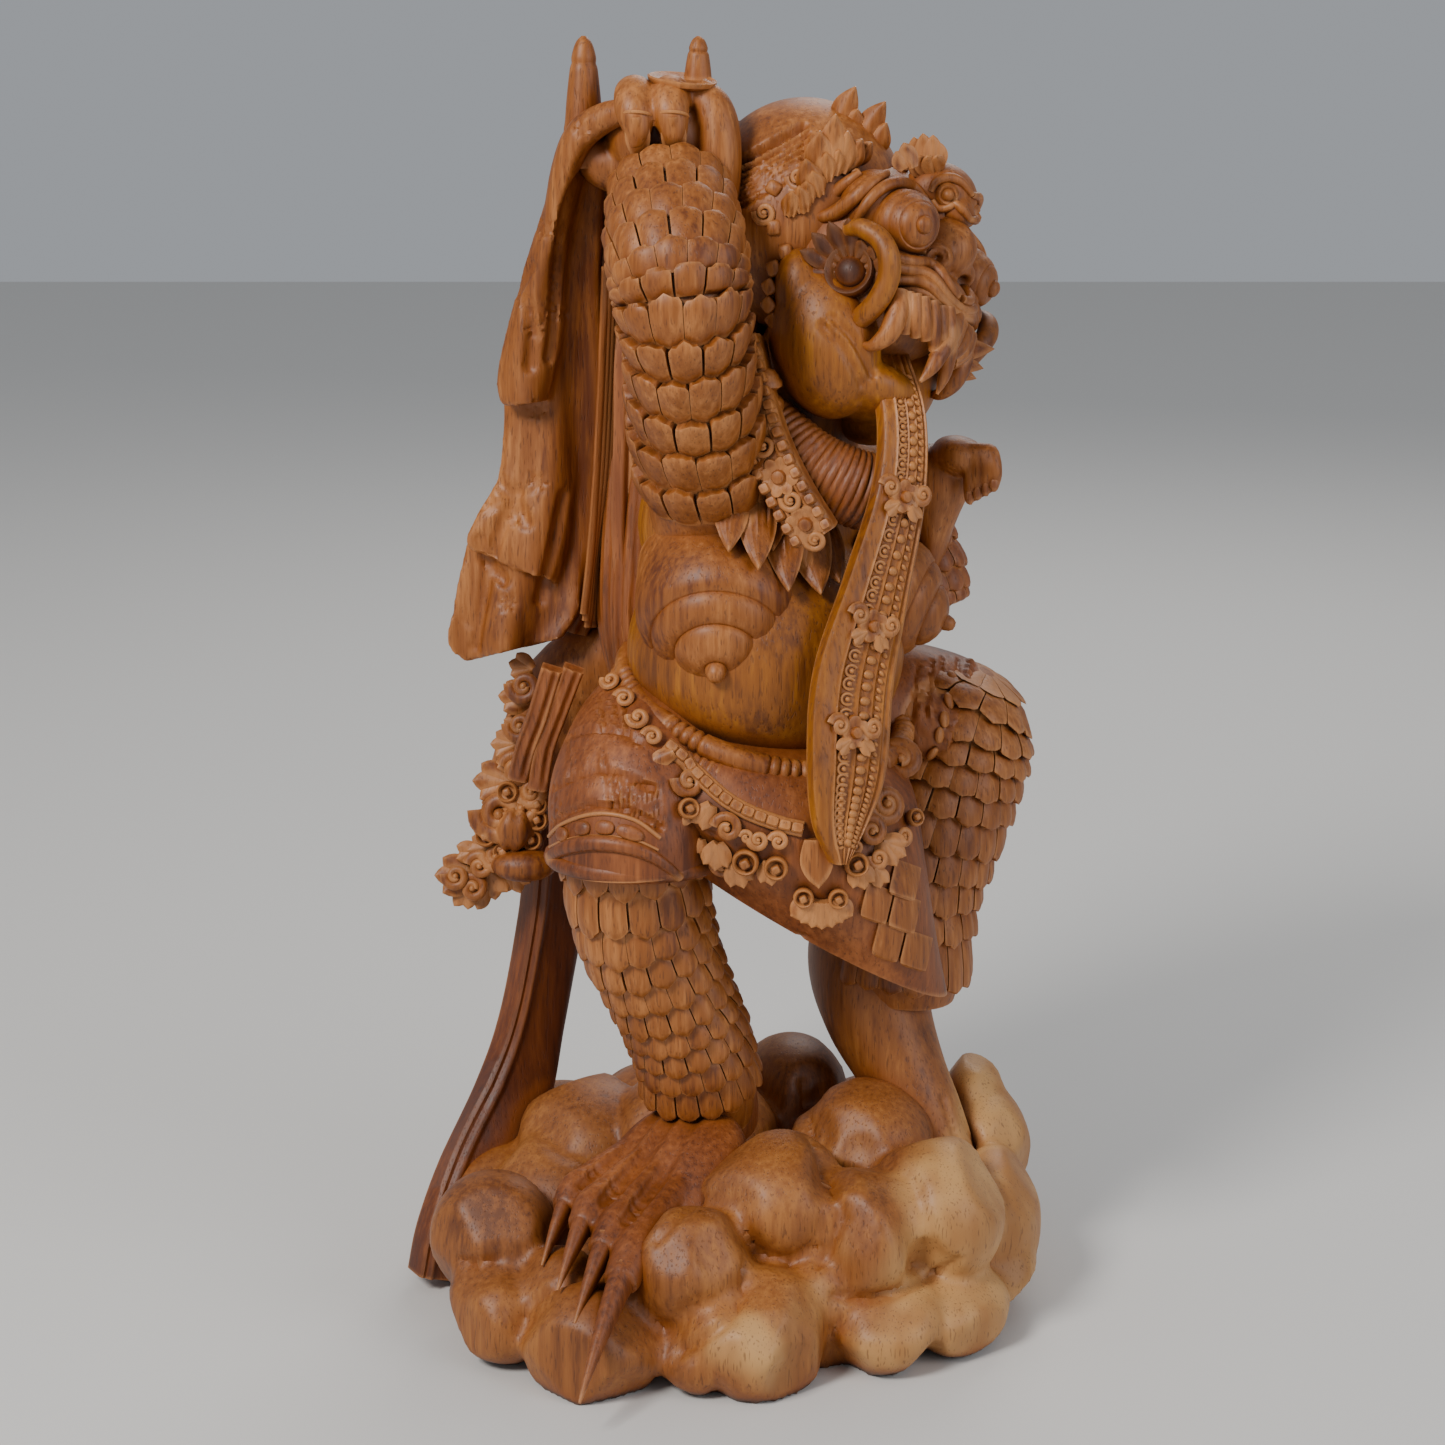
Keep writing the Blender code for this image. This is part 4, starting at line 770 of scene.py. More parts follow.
def make_near_leg():
    """The right leg: the scaled shin, and the foot on the rocks with its four claws."""
    shin = [(-28, -40, 176, 23, 23), (-28, -38, 158, 22.5, 22.5), (-25, -34, 136, 21.5, 21),
            (-18, -28, 115, 19.5, 19), (-11, -21, 94, 19, 18.5), (-7, -14, 74, 19, 18),
            (-6, -11, 63, 18.5, 17.5)]
    inner = [(x, y, z, a - 1.6, b - 1.6) for x, y, z, a, b in shin]
    rows = rows_seen(shin, (856, 901, 939, 965, 988, 1011, 1034, 1053, 1073, 1094, 1119),
                     (15, 15, 16, 16, 16, 16, 16, 16, 16, 16))
    carve("right_shin", [limb(inner, around=36, rows=20)] + scales(shin, (1, 0, 0), rows, lip=1.5, sunk=-1.8),
          golden)
    toes = (
        ((-12, -46, 53), (-27, -76, 43), (-32, -89, 37), 7.0, 1.0),
        ((-20, -42, 55), (-33, -66, 47), (-38, -77, 42), 6.4, 0.62),
        ((-27, -37, 56), (-41, -58, 50), (-45, -67, 46), 6.0, 0.56),
        ((-31, -29, 56), (-47, -47, 51), (-51, -55, 47), 5.6, 0.50),
    )
    shells = [limb([(-5, -8, 74, 16, 15), (-5, -9, 62, 17, 17), (-6, -10, 48, 15, 15), (-6, -12, 36, 11, 11)],
                   around=40, rows=30),
              egg((-17, -38, 50), (24, 30, 13), (-0.35, -0.55, 1), (0.8, -0.5, 0), 48, 30, 0.9)]
    claws = []
    for root, knuckle, tip, size, share in toes:
        root, knuckle, tip = np.array(root, float), np.array(knuckle, float), np.array(tip, float)
        middle = root * 0.5 + knuckle * 0.5 + UP * 0.8
        shells.append(limb([(*root, size * 0.9, size * 0.9), (*middle, size * 0.80, size * 0.9),
                            (*knuckle, size, size * 1.10),
                            (*(knuckle * 0.4 + tip * 0.6), size * 0.92, size * 0.95),
                            (*tip, size * 0.8, size * 0.8)], around=28, rows=26))
        way = unit(tip - knuckle + np.array([0, -2.0, -1.0]))
        start = tip - way * 4.5
        length = 38 * share + 3
        run = []
        for t in (0.0, 0.12, 0.3, 0.5, 0.7, 0.88, 1.0):
            place = start + way * length * t + np.array([-0.02, -0.05, -0.22]) * length * t * t
            size_here = (0.75 * size) * (1 - 0.93 * t ** 1.25)
            run.append((*place, size_here + 0.15, size_here * 0.85 + 0.15))

        def ridge(u, v):
            return 0.5 * np.cos(2 * math.pi * u * 2) * (1 - v) + 0.4 * band(v, -0.1, 0.12, 0.008)

        claws.append(limb(run, (0, 0, 1), 24, 34, ridge))
    grooves = []
    for (r0, k0, t0, s0, h0), (r1, k1, t1, s1, h1) in zip(toes[:-1], toes[1:]):
        r = (np.array(r0) + np.array(r1)) / 2 + UP * 7
        k = (np.array(k0) + np.array(k1)) / 2 + UP * 5
        grooves.append([r + (r - k) * 0.5 + UP * 2.0, r, (r + k) / 2, k])
    creases = []
    for root, knuckle, tip, size, share in toes:
        k, r = np.array(knuckle, float), np.array(root, float)
        for back in (0.0, 3.2):
            mid = k + unit(r - k) * (back + 3)
            creases.append([mid + np.array([-0.8, 0.5, 0.2]) * size, mid + UP * size,
                            mid + np.array([0.8, -0.5, 0.2]) * size])
    carve("right_foot", shells, brown, grain=1.1, soften=2, relief=((grooves, 3.6, 1.9), (creases, 1.5, 0.7)))
    carve("right_claws", claws, brown, sharp=50)


def make_far_leg():
    """The left leg: cloth over the thigh, scales from the knee down, and a bare foot down the rocks."""
    cuff = [(88, 24, 206, 6, 8), (86, 24, 202, 16, 19), (81, 23, 193, 23, 26), (76, 22, 180, 26, 28),
            (69, 21, 158, 26, 28), (62, 20, 132, 24, 26), (60, 19, 106, 23, 24), (59, 19, 96, 22, 22)]
    inner = [(x, y, z, a - 2.0, b - 2.0) for x, y, z, a, b in cuff]
    rows = rows_seen(cuff, (672, 689, 712, 742, 765, 791, 818, 852, 882, 916, 950, 996),
                     (9, 12, 15, 17, 18, 18, 18, 18, 18, 18, 18))
    carve("left_shin", [limb(inner, around=36, rows=20)]
          + scales(cuff, (1, 0, 0), rows, lip=2.0, cut=True, sunk=-2.0, gap=0.955), golden)
    calf = [(54, 26, 128, 20, 22), (50, 24, 106, 21, 23), (53, 18, 88, 18.5, 21), (61, 10, 70, 15, 17),
            (67, 4, 56, 14.5, 15), (72, -1, 42, 14, 12), (77, -8, 28, 11, 9), (79, -14, 16, 7, 6)]
    ankle = egg((58, 6, 80), (9, 9, 8), around=36, rows=24)
    lines = [enlarged(400, 860, 0.4, line) for line in ([(1400, 620), (1450, 760), (1470, 900)],
                                                        [(1360, 600), (1410, 760), (1440, 880)])]
    carve("left_foot", [limb(calf, around=48, rows=70), ankle], sap, grain=1.3, soften=3,
          relief=((lines, 2.4, 0.9),))
    knee = lambda points: enlarged(860, 600, 0.25, points)
    rims = [knee([(440, 250), (410, 400), (385, 470), (330, 620), (265, 760)])]
    ribs = [knee(line) for line in ([(395, 240), (385, 330), (360, 450), (310, 590), (240, 740)],
                                    [(330, 235), (318, 350), (300, 450), (265, 560), (220, 680)],
                                    [(290, 245), (270, 400), (245, 540)], [(230, 250), (215, 380), (190, 500)])]
    rungs = [knee([(238 + 3 * k, 262 + 34 * k), (280 - 3 * k, 258 + 34 * k)]) for k in range(6)]
    upper = [(28, 18, 192, 28, 28), (54, 22, 190, 28, 27), (70, 25, 187, 26, 26), (80, 26, 185, 23, 24)]
    thigh = carve("left_thigh", [limb(upper, (0, 1, 0), 140, 80),
                                 egg((66, 14, 192), (17, 22, 16), around=60, rows=40)], brown,
                  relief=((rims, 2.2, -1.6), (ribs, 1.2, 1.1), (rungs, 0.9, 0.8)))
    ground = cover(thigh)
    work = []
    for x, y in ((365, 315), (350, 405), (333, 478), (312, 540), (285, 610)):
        spot, out = landed(ground, 860 + x * 0.25, 600 + y * 0.25, 0.6)
        if spot is not None:
            work.append(egg(spot, (2.9, 1.9, 1.3), out, (0.2, 0, 1), 14, 8))
    carve("left_thigh_band", work, golden, sharp=50)


def make_body():
    """The torso with its breasts, and the tufts of fur over the near one."""
    shells = [
        egg((12, 8, 190), (47, 42, 34), across=RIGHT, around=64, rows=40),
        egg((14, -11, 222), (47, 43, 42), across=RIGHT, around=64, rows=40),
        egg((13, 8, 262), (46, 33, 38), across=RIGHT, around=64, rows=40),
        limb([(14, 10, 268, 34, 28), (20, 2, 290, 25, 24), (30, -2, 312, 20, 20), (36, 0, 330, 18, 18)], RIGHT,
             48, 40),
        egg((-2, -16, 264), (25, 24, 26), around=48, rows=30),
        egg((44, 26, 262), (20, 22, 24), around=48, rows=30),
    ]
    body = carve("body", shells, amber, grain=2.4, soften=3)
    # The turned steps of a breast, from its tip down.
    steps = [(0, 41), (1.6, 40.7), (2.7, 39.4), (3.3, 37.4), (3.4, 36.2), (4.4, 36.5), (7, 35.6), (10, 33.8),
             (12.2, 31.6), (12.9, 30.2), (13.0, 29.2), (14, 29.4), (17, 28), (19.4, 25.6), (20.3, 23.8),
             (20.5, 22.6), (21.6, 22.6), (24, 19.6), (25.6, 15.5), (26.2, 8), (26, -6), (0, -14)]
    breasts = []
    for name, place, way, size in (("right_breast", (-1, -26, 247), (-0.03, -0.86, -0.62), 1.0),
                                   ("left_breast", (45, 0, 240), (0.93, -0.22, -0.36), 0.80)):
        breasts.append(carve(name, [turned(place, way, [(r * size, h * size) for r, h in steps], 72)], golden,
                             sharp=60))
    ground = cover(body, *breasts)
    tufts = []
    for root, tip, width in (((732, 478), (728, 558), 5.0), ((750, 478), (755, 574), 5.6),
                             ((770, 486), (783, 594), 6.0), ((792, 500), (818, 599), 6.2),
                             ((741, 476), (741, 540), 5.0), ((761, 480), (769, 556), 5.0),
                             ((782, 490), (803, 574), 5.4), ((806, 510), (836, 588), 5.0),
                             ((722, 480), (716, 532), 4.4)):
        spot, out = landed(ground, *root, 3.5)
        end, out_there = landed(ground, *tip, 2.0)
        if spot is None or end is None:
            continue
        tufts.append(leaf(spot, end - spot, -SIGHT + out * 0.3, np.linalg.norm(end - spot), width * 1.2, 3.4,
                          1.8, 6, 1.5))
    carve("fur_tufts", tufts, golden, sharp=50)
    return body


def make_skirt(body):
    """Cloth over the right thigh, the apron with its ornaments, the belt, fringe and hems."""
    thigh = [(0, 4, 194, 32, 28), (-14, -18, 190, 34, 30), (-25, -35, 180, 30, 31), (-28, -42, 169, 27, 30),
             (-28, -43, 160, 26, 29)]
    hip = lambda points: enlarged(400, 680, 0.2, points)
    front = lambda points: enlarged(600, 680, 0.2296, points)
    arcs = [hip(line) for line in (
        [(745, 330), (850, 278), (930, 252), (1000, 250), (1110, 265), (1200, 310)],
        [(735, 560), (840, 508), (930, 468), (1040, 458), (1150, 490), (1260, 540)],
        [(740, 735), (860, 655), (1000, 628), (1150, 655), (1290, 735)])]
    lines = [hip(line) for line in ([(962, 60), (1000, 250), (1030, 440), (1055, 640)],
                                    [(835, 270), (842, 400), (835, 520)],
                                    [(1000, 80), (1030, 250)], [(1070, 80), (1105, 255)],
                                    [(1120, 110), (1145, 270)])]
    for number in range(9):
        x = 1075 + 27 * number
        lines.append(hip([(x, 478 + number * 8), (x + 12, 600 + number * 10), (x + 20, 650 + number * 12)]))
    marks = []
    for row in range(7):
        y = 310 + row * 21
        marks += [hip([(872 + 6 * (row % 2), y + 18), (915, y + 6)]), hip([(935, y + 3), (985, y - 4)])]
        marks += [hip([(1030 + row * 3, 92 + row * 24), (1060 + row * 3, 90 + row * 24)]),
                  hip([(1062, 490 + row * 22), (1090, 488 + row * 22)])]
        marks += [hip([(1118, 500 + row * 22), (1140, 500 + row * 22)]),
                  hip([(760 + 22 * (row % 3), 580 + row * 18)])]
    near = carve("right_thigh", [limb(thigh, (1, 0.2, 0), 220, 100)], brown,
                 relief=((arcs, 1.6, 1.4), (lines, 1.1, 1.1), (marks, 0.95, 0.8)))
    combs = [front([(x, 640 + (x - 370) * 0.25), (x + 6, 780 + (x - 370) * 0.3)]) for x in range(378, 500, 17)]
    combs += [front([(x, 470 + (x - 215) * 0.3), (x + 5, 620 + (x - 215) * 0.3)]) for x in range(222, 275, 17)]
    rim = [front([(330, 850), (450, 975), (560, 1045), (800, 1098), (900, 1118)])]
    panel = hung([(15, -18, 202, 38, 25, -0.25), (15, -29, 191, 46, 32, -0.25), (17, -35, 173, 48, 33, -0.35),
                  (21, -33, 155, 48, 31, -0.50), (25, -27, 139, 48, 28, -0.58)], 210, 80)
    apron = carve("apron", [panel], brown, relief=((combs, 1.0, 0.9), (rim, 1.1, 1.0)))
    seat = [(6, 22, 214, 30, 18), (4, 30, 202, 40, 26), (4, 34, 182, 44, 29), (8, 34, 160, 43, 28),
            (16, 30, 146, 34, 22)]

    def pleats(u, v):
        return 0.5 * np.abs(np.sin(math.pi * 30 * u)) ** 0.6

    carve("skirt_back", [limb(seat, (1, 0, 0), 220, 26, pleats)], brown)
    waist = np.array([0.29, -0.25, 1.0])

    def notches(u, v):
        return -0.9 * (0.5 + 0.5 * np.cos(2 * math.pi * v * 90)) ** 3 * (np.sin(2 * math.pi * v * 9) > 0.1)

    def threads(u, v):
        return 0.8 * np.abs(np.sin(math.pi * 110 * v)) ** 0.7 - 0.6

    carve("belt", [ring((14, -10, 206), waist, RIGHT, 48, 45, 4.0, (0, 1), 720, 10, notches)], golden, sharp=60)
    fringe = carve("fringe", [ring((13, -10.5, 199), waist, RIGHT, 47.5, 45.5, 5.2, (0, 1), 900, 10, threads)],
                   golden, sharp=60)
    ground = cover(near, apron, fringe)
    hem = [cord(ground, hip([(738, 960), (745, 900), (800, 852), (900, 822), (1000, 815), (1120, 830),
                             (1250, 875), (1370, 960), (1440, 1040)]),
                (2.0, 2.6, 2.6, 2.2, 1.4), 0.9, 0.2, 50),
           cord(ground, hip([(740, 790), (800, 730), (900, 685), (1000, 668), (1100, 678), (1200, 715),
                             (1300, 790)]), 0.7, 1.0, 0.2, 40),
           cord(ground, hip([(750, 835), (830, 800), (950, 780), (1080, 785), (1190, 805), (1290, 850)]),
                0.5, 1.0, 0.1, 40),
           ring((-28, -42, 162), (0.02, 0.08, 1), (1, 0, 0), 25.5, 27.5, 3.0, (0, 1), 100, 12)]
    for x, y, wide in ((815, 772, 3.2), (915, 742, 3.0), (1025, 738, 3.2), (1150, 765, 4.4)):
        spot, out = landed(ground, *hip([(x, y)])[0], 0.2)
        if spot is not None:
            hem.append(egg(spot, (wide, 2.3, 1.5), out, (1, 0, -0.1 if x < 1100 else -0.35), 26, 12, 0.85))
    carve("knee_hem", hem, brown, sharp=50)

    # The strap of square beads under the fringe, and the scrolls, cups and leaves that hang from it.
    spots, outs = laid(ground, front([(285, 285), (360, 350), (440, 425), (530, 505), (610, 558), (700, 598),
                                      (800, 632), (880, 650)]), 60, 0.8)
    work = [limb(np.hstack([spots, np.full((len(spots), 1), 1.3), np.full((len(spots), 1), 2.6)]), outs.mean(0),
                 14, 80)]
    work += strung(spots + outs * 1.2, outs.mean(0), 1.7, 2.1, 1.7, 0.45, 13)
    for x, y, size, turns, hand in (
        (60, 22, 42, 1.3, 1), (112, 100, 44, 1.4, -1), (170, 180, 46, 1.3, 1), (225, 262, 42, 1.3, -1),
        (372, 445, 62, 1.4, 1), (560, 640, 60, 1.3, -1), (690, 690, 42, 1.4, 1), (775, 700, 40, 1.4, -1),
        (1305, 365, 88, 1.7, -1), (1315, 200, 58, 1.4, 1), (1325, 95, 50, 1.4, -1), (1225, 548, 80, 1.8, 1),
        (1165, 662, 66, 1.5, -1), (545, 790, 46, 1.4, 1), (1195, 775, 46, 1.4, 1), (1100, 725, 32, 1.3, 1),
        (640, 680, 30, 1.3, -1), (1370, 470, 36, 1.3, 1), (1300, 680, 44, 1.4, 1),
    ):
        spot, out = landed(ground, *front([(x, y)])[0], 2.0)
        if spot is not None:
            work += scroll(spot, out * 0.5 - SIGHT * 0.5, size * 0.0705, turns, 0.30, hand=hand)
    for x, y, size in ((645, 770, 58), (770, 800, 52), (1100, 800, 54), (888, 925, 44), (1030, 935, 44),
                       (1340, 605, 40), (365, 560, 46), (505, 740, 40)):
        spot, out = landed(ground, *front([(x, y)])[0], 2.6)
        if spot is not None:
            work += cup(spot, out * 0.5 - SIGHT * 0.5, size * 0.0705)
    for root, tip, size, lobes in (((300, 330), (210, 370), 7.5, 1), ((400, 560), (350, 600), 6.5, 2),
                                   ((480, 560), (420, 640), 7.5, 2), ((520, 720), (500, 860), 7.5, 3),
                                   ((600, 800), (620, 880), 7.5, 3), ((740, 800), (750, 900), 6.5, 3),
                                   ((1120, 820), (1150, 910), 7.0, 3), ((1230, 720), (1310, 790), 8.0, 4),
                                   ((1190, 830), (1230, 880), 6.0, 2), ((1360, 400), (1420, 450), 6.5, 2),
                                   ((1290, 230), (1360, 270), 6.5, 3),
                                   ((1330, 110), (1370, 60), 5.5, 2), ((450, 700), (430, 760), 4.5, 2)):
        spot, out = landed(ground, *front([root])[0], 1.4)
        if spot is not None:
            work += fan(spot, seen(*front([tip])[0], spot[1]) - spot, out * 0.4 - SIGHT * 0.6, size, lobes)
    spot, out = landed(ground, *front([(930, 690)])[0], 1.8)
    work.append(leaf(spot, seen(*front([(950, 900)])[0], spot[1] - 1) - spot, out * 0.3 - SIGHT * 0.7, 15.5,
                     5.4, 2.2, 0.8, 2, 1.6))
    for k in range(7):
        x = 830 + 45 * k
        spot, out = landed(ground, *front([(930 + 12 * k, 950)])[0], 1.4)
        tip = front([(x, 1010 + 75 * math.sin(math.pi * (k + 0.5) / 7))])[0]
        work.append(leaf(spot, seen(*tip, spot[1] + 0.5) - spot, -SIGHT,
                         np.linalg.norm(seen(*tip, spot[1]) - spot), 3.6, 2.2, 0.3, 1, 3.0))
    carve("apron_scrolls", work, golden, sharp=45)
    edge = [(963, 689), (1023, 700), (1032, 753), (1016, 791), (993, 837), (974, 890), (959, 943),
            (946, 1000), (864, 962), (868, 912), (893, 884), (889, 862), (918, 845), (930, 803), (950, 738)]
    carve("left_shin_front", laid_scales(cover(apron), edge, (903, 882), (27.5, 10), (-8, 30), range(-6, 5),
                                         range(-4, 5)), golden)
    straps = []

    def welts(u, v):
        return 0.4 * np.cos(2 * math.pi * u) * band(v, -0.1, 0.94, 0.02)

    for path in ([(870, -60), (790, 150), (725, 330), (690, 540)],
                 [(760, -60), (690, 170), (630, 330), (590, 490)]):
        run = [(*seen(px, py, -14 + 3 * k), 3.4) for k, (px, py) in enumerate(hip(path))]
        straps.append(ribbon(run, (0.95, -0.1, 0.25), 5.0, 50, 20, welts))
    carve("hip_ribbons", straps, brown, sharp=60)


def make_arms():
    """The raised right arm in its scales, and the left arm with its sleeve, hand and nails."""
    arm = [(-2, -20, 258, 23, 21), (-4, -30, 278, 22, 21), (-8, -42, 300, 20.5, 20.5),
           (-10, -54, 322, 19, 20), (-12, -58, 340, 20, 19), (-14, -46, 353, 20.5, 18),
           (-15, -33, 361, 19.5, 17), (-16, -22, 367, 18.5, 16), (-17, -12, 374, 16, 14)]
    inner = [(x, y, z, a - 2.6, b - 2.6) for x, y, z, a, b in arm]
    rows = rows_seen(arm, (522, 488, 455, 420, 380, 341, 291, 262, 237, 208, 183, 161, 145),
                     (13, 12, 12, 12, 12, 12, 13, 13, 13, 13, 13, 12))
    carve("right_arm", [limb(inner, around=36, rows=24)]
          + scales(arm, (1, 0, 0), rows, lip=1.3, sunk=-2.6, cut=True, gap=0.95), golden)
    upper = [(44, 30, 274, 15, 16), (54, 29, 262, 14.5, 16), (64, 26, 248, 13, 14), (70, 23, 236, 11, 12),
             (72, 22, 229, 8, 8)]
    inner = [(x, y, z, a - 1.3, b - 1.3) for x, y, z, a, b in upper]
    rows = rows_of(np.linspace(0, 1, 8), (12, 12, 12, 11, 11, 10, 10))
    carve("left_arm", [limb(inner, around=24, rows=16)] + scales(upper, (1, 0, 0), rows, lip=1.0), brown)
    sleeve = [(*seen(px, py, depth), wide, deep_in) for px, py, depth, wide, deep_in in (
        (926, 578, 20, 6.0, 9), (929, 540, 18, 6.5, 10), (934, 508, 16, 8.5, 10), (940, 482, 14, 10.5, 9.5),
        (946, 464, 13, 11, 8), (950, 454, 12, 9.5, 6))]
    shells = [limb(sleeve, (1, 0, 0), 44, 50),
              egg(seen(960, 456, 8), (9.5, 10, 6.5), (0.3, 0.1, 1), around=40, rows=26)]
    nails = []
    for number in range(4):
        px, low = 969 + 8.2 * number, 504 - 4.2 * number
        run = [(*seen(px - 16 + number, 452, 6 - number), 3.0, 3.0),
               (*seen(px - 3, 450 + number, 3 - number), 2.7, 2.7),
               (*seen(px + 1, 466 + number, 1 - number), 2.5, 2.6),
               (*seen(px + 1, low - 12, 2 - number), 2.2, 2.2), (*seen(px, low, 3 - number), 1.2, 1.2)]
        shells.append(limb(run, (1, 0, 0), 20, 30))
        nails.append(egg(seen(px + 0.5, low - 7, 0 - number), (1.5, 1.0, 2.4), (0, 0.1, 1), around=14, rows=10))
    carve("left_hand", shells, golden, grain=0.8, soften=2)
    carve("left_nails", nails, brown)


def make_raised_hand():
    """The right hand behind the head: two hooked nails in front, a plate, and two tall nails."""
    shells = [egg((-18, -5, 384), (18, 14, 15), around=48, rows=30),
              limb([(-3, -12, 362, 8, 9), (-1, -14, 380, 7, 7.5), (-3, -13, 392, 6.5, 6.5),
                    (-9, -12, 399, 4.5, 4.5)], around=28, rows=30),
              limb([(-26, -2, 372, 8, 8), (-36, -1, 375, 8, 8), (-42, -1, 380, 6.5, 6.5)], around=28, rows=24),
              limb([(-10, -4, 384, 6, 6), (-8, -3, 397, 5, 5)], around=28, rows=16)]
    nails = []
    for x in (-27, -16):
        shells.append(limb([(x, -4, 393, 5.5, 5.5), (x, -14, 397, 6.2, 6.0), (x, -20, 393, 6.0, 5.6),
                            (x + 1, -22, 387, 4.6, 4.4), (x + 1, -22, 381, 2.6, 2.6)], around=28, rows=30))
        nails.append(leaf((x + 0.8, -24.5, 391), (0.06, 0.10, -1), (0, -1, 0), 15, 4.2, 2.2, -1.0, 1, 1.2))
        nails.append(ring((x + 0.8, -22, 391), (0.05, 0.35, 1), (1, 0, 0), 4.6, 4.4, 0.6, steps=40, around=8))
    carve("right_hand", shells, golden, grain=0.85, soften=2)
    plate_ring = [(0, 0.6), (4, 0.7), (8, 1.2), (10.2, 2.0), (10.8, 1.6), (10.4, 0.2), (8, -1.0), (3, -2.2),
                  (0, -2.6)]
    nails.append(turned((-12.5, -11, 400), (0.10, -0.10, 1), plate_ring, 44))
    for (x, y, z), length, size in (((-43.5, -1, 374), 40, 6.3), ((-8, -3, 392), 22, 4.8)):
        run = []
        for t in (0, 0.1, 0.3, 0.5, 0.7, 0.85, 0.95, 1.0):
            wide = size * (0.98 - 0.55 * t ** 2.2) * (1 if t < 0.9 else 0.8 if t < 1 else 0.25)
            run.append((x + 0.6 * t, y, z + length * t, wide, wide))

        def step(u, v):
            return (0.3 * band(v, -0.1, 0.30, 0.01) - 0.5 * band(v, 0.64, 0.67, 0.008)
                    + 0.2 * np.cos(2 * math.pi * u * 3) * (1 - v))

        nails.append(limb(run, (1, 0, 0), 28, 50, step))
    carve("right_nails", nails, golden)


def make_hair():
    """The hair: a smooth dome, grooved where it is drawn back, and long locks down the back."""
    dome = [egg((25, 9, 358), (33.5, 33.5, 37), (0.12, 0.2, 1), around=96, rows=60)]
    lines = [enlarged(740, 120, 0.1658, line) for line in (
        [(-330, 420), (-150, 355), (0, 288), (130, 220), (260, 142), (395, 78)],
        [(-330, 470), (-150, 400), (0, 330), (140, 255), (270, 180), (388, 118)],
        [(-300, 505), (-150, 435), (0, 368), (140, 292), (270, 222), (380, 165)],
        [(-270, 525), (-130, 460), (0, 397), (140, 325), (270, 260), (385, 210)],
        [(-250, 550), (-120, 490), (0, 430), (130, 362), (250, 300), (350, 255)],
        [(-220, 570), (-100, 515), (0, 460), (120, 396), (230, 340), (340, 300)],
        [(-180, 590), (-60, 535), (30, 490), (130, 428), (230, 370), (320, 325)],
        [(-300, 380), (-150, 310), (0, 240), (150, 160), (290, 80), (380, 30)])]
    piece = carve("hair_dome", dome, golden, grain=1.0, soften=1, relief=((lines, 1.9, 3.0),))
    fall = [(20, 20, 372, 14, 16), (4, 21, 362, 26, 26), (-8, 20, 340, 30, 26), (-12, 20, 300, 28, 25),
            (-16, 18, 262, 26, 26), (-18, 16, 230, 22, 26), (-20, 12, 208, 16, 20), (-22, 8, 196, 9, 12)]

    def strands(u, v):
        turn = 26 * u + 0.8 * np.sin(5 * v + 6 * u)
        return 1.6 * np.abs(np.sin(math.pi * turn)) ** 0.6 - 1.3 + 0.25 * np.cos(2 * math.pi * turn * 3)

    carve("hair_fall", [limb(fall, (-0.77, 0.64, 0), 286, 40, strands)], brown, sharp=60)
    locks = []
    for number in range(9):
        x, y = -33 + 2.6 * number, -2 + 1.2 * math.sin(number)
        run = [(x + 8, y + 6, 352, 2.2, 2.2), (x + 2 + math.sin(number), y, 320, 2.8, 2.6),
               (x + 1, y, 290, 2.9, 2.6), (x + 3 * math.sin(number * 1.7), y + 1, 255, 2.8, 2.4),
               (x + 2, y - 2, 222 + 4 * math.sin(number * 2.0), 0.8, 0.8)]
        locks.append(limb(run, (1, 0, 0), 20, 30, lambda u, v: 0.35 * np.cos(2 * math.pi * u * 5)))
    carve("hair_locks", locks, brown, sharp=60)
    return piece


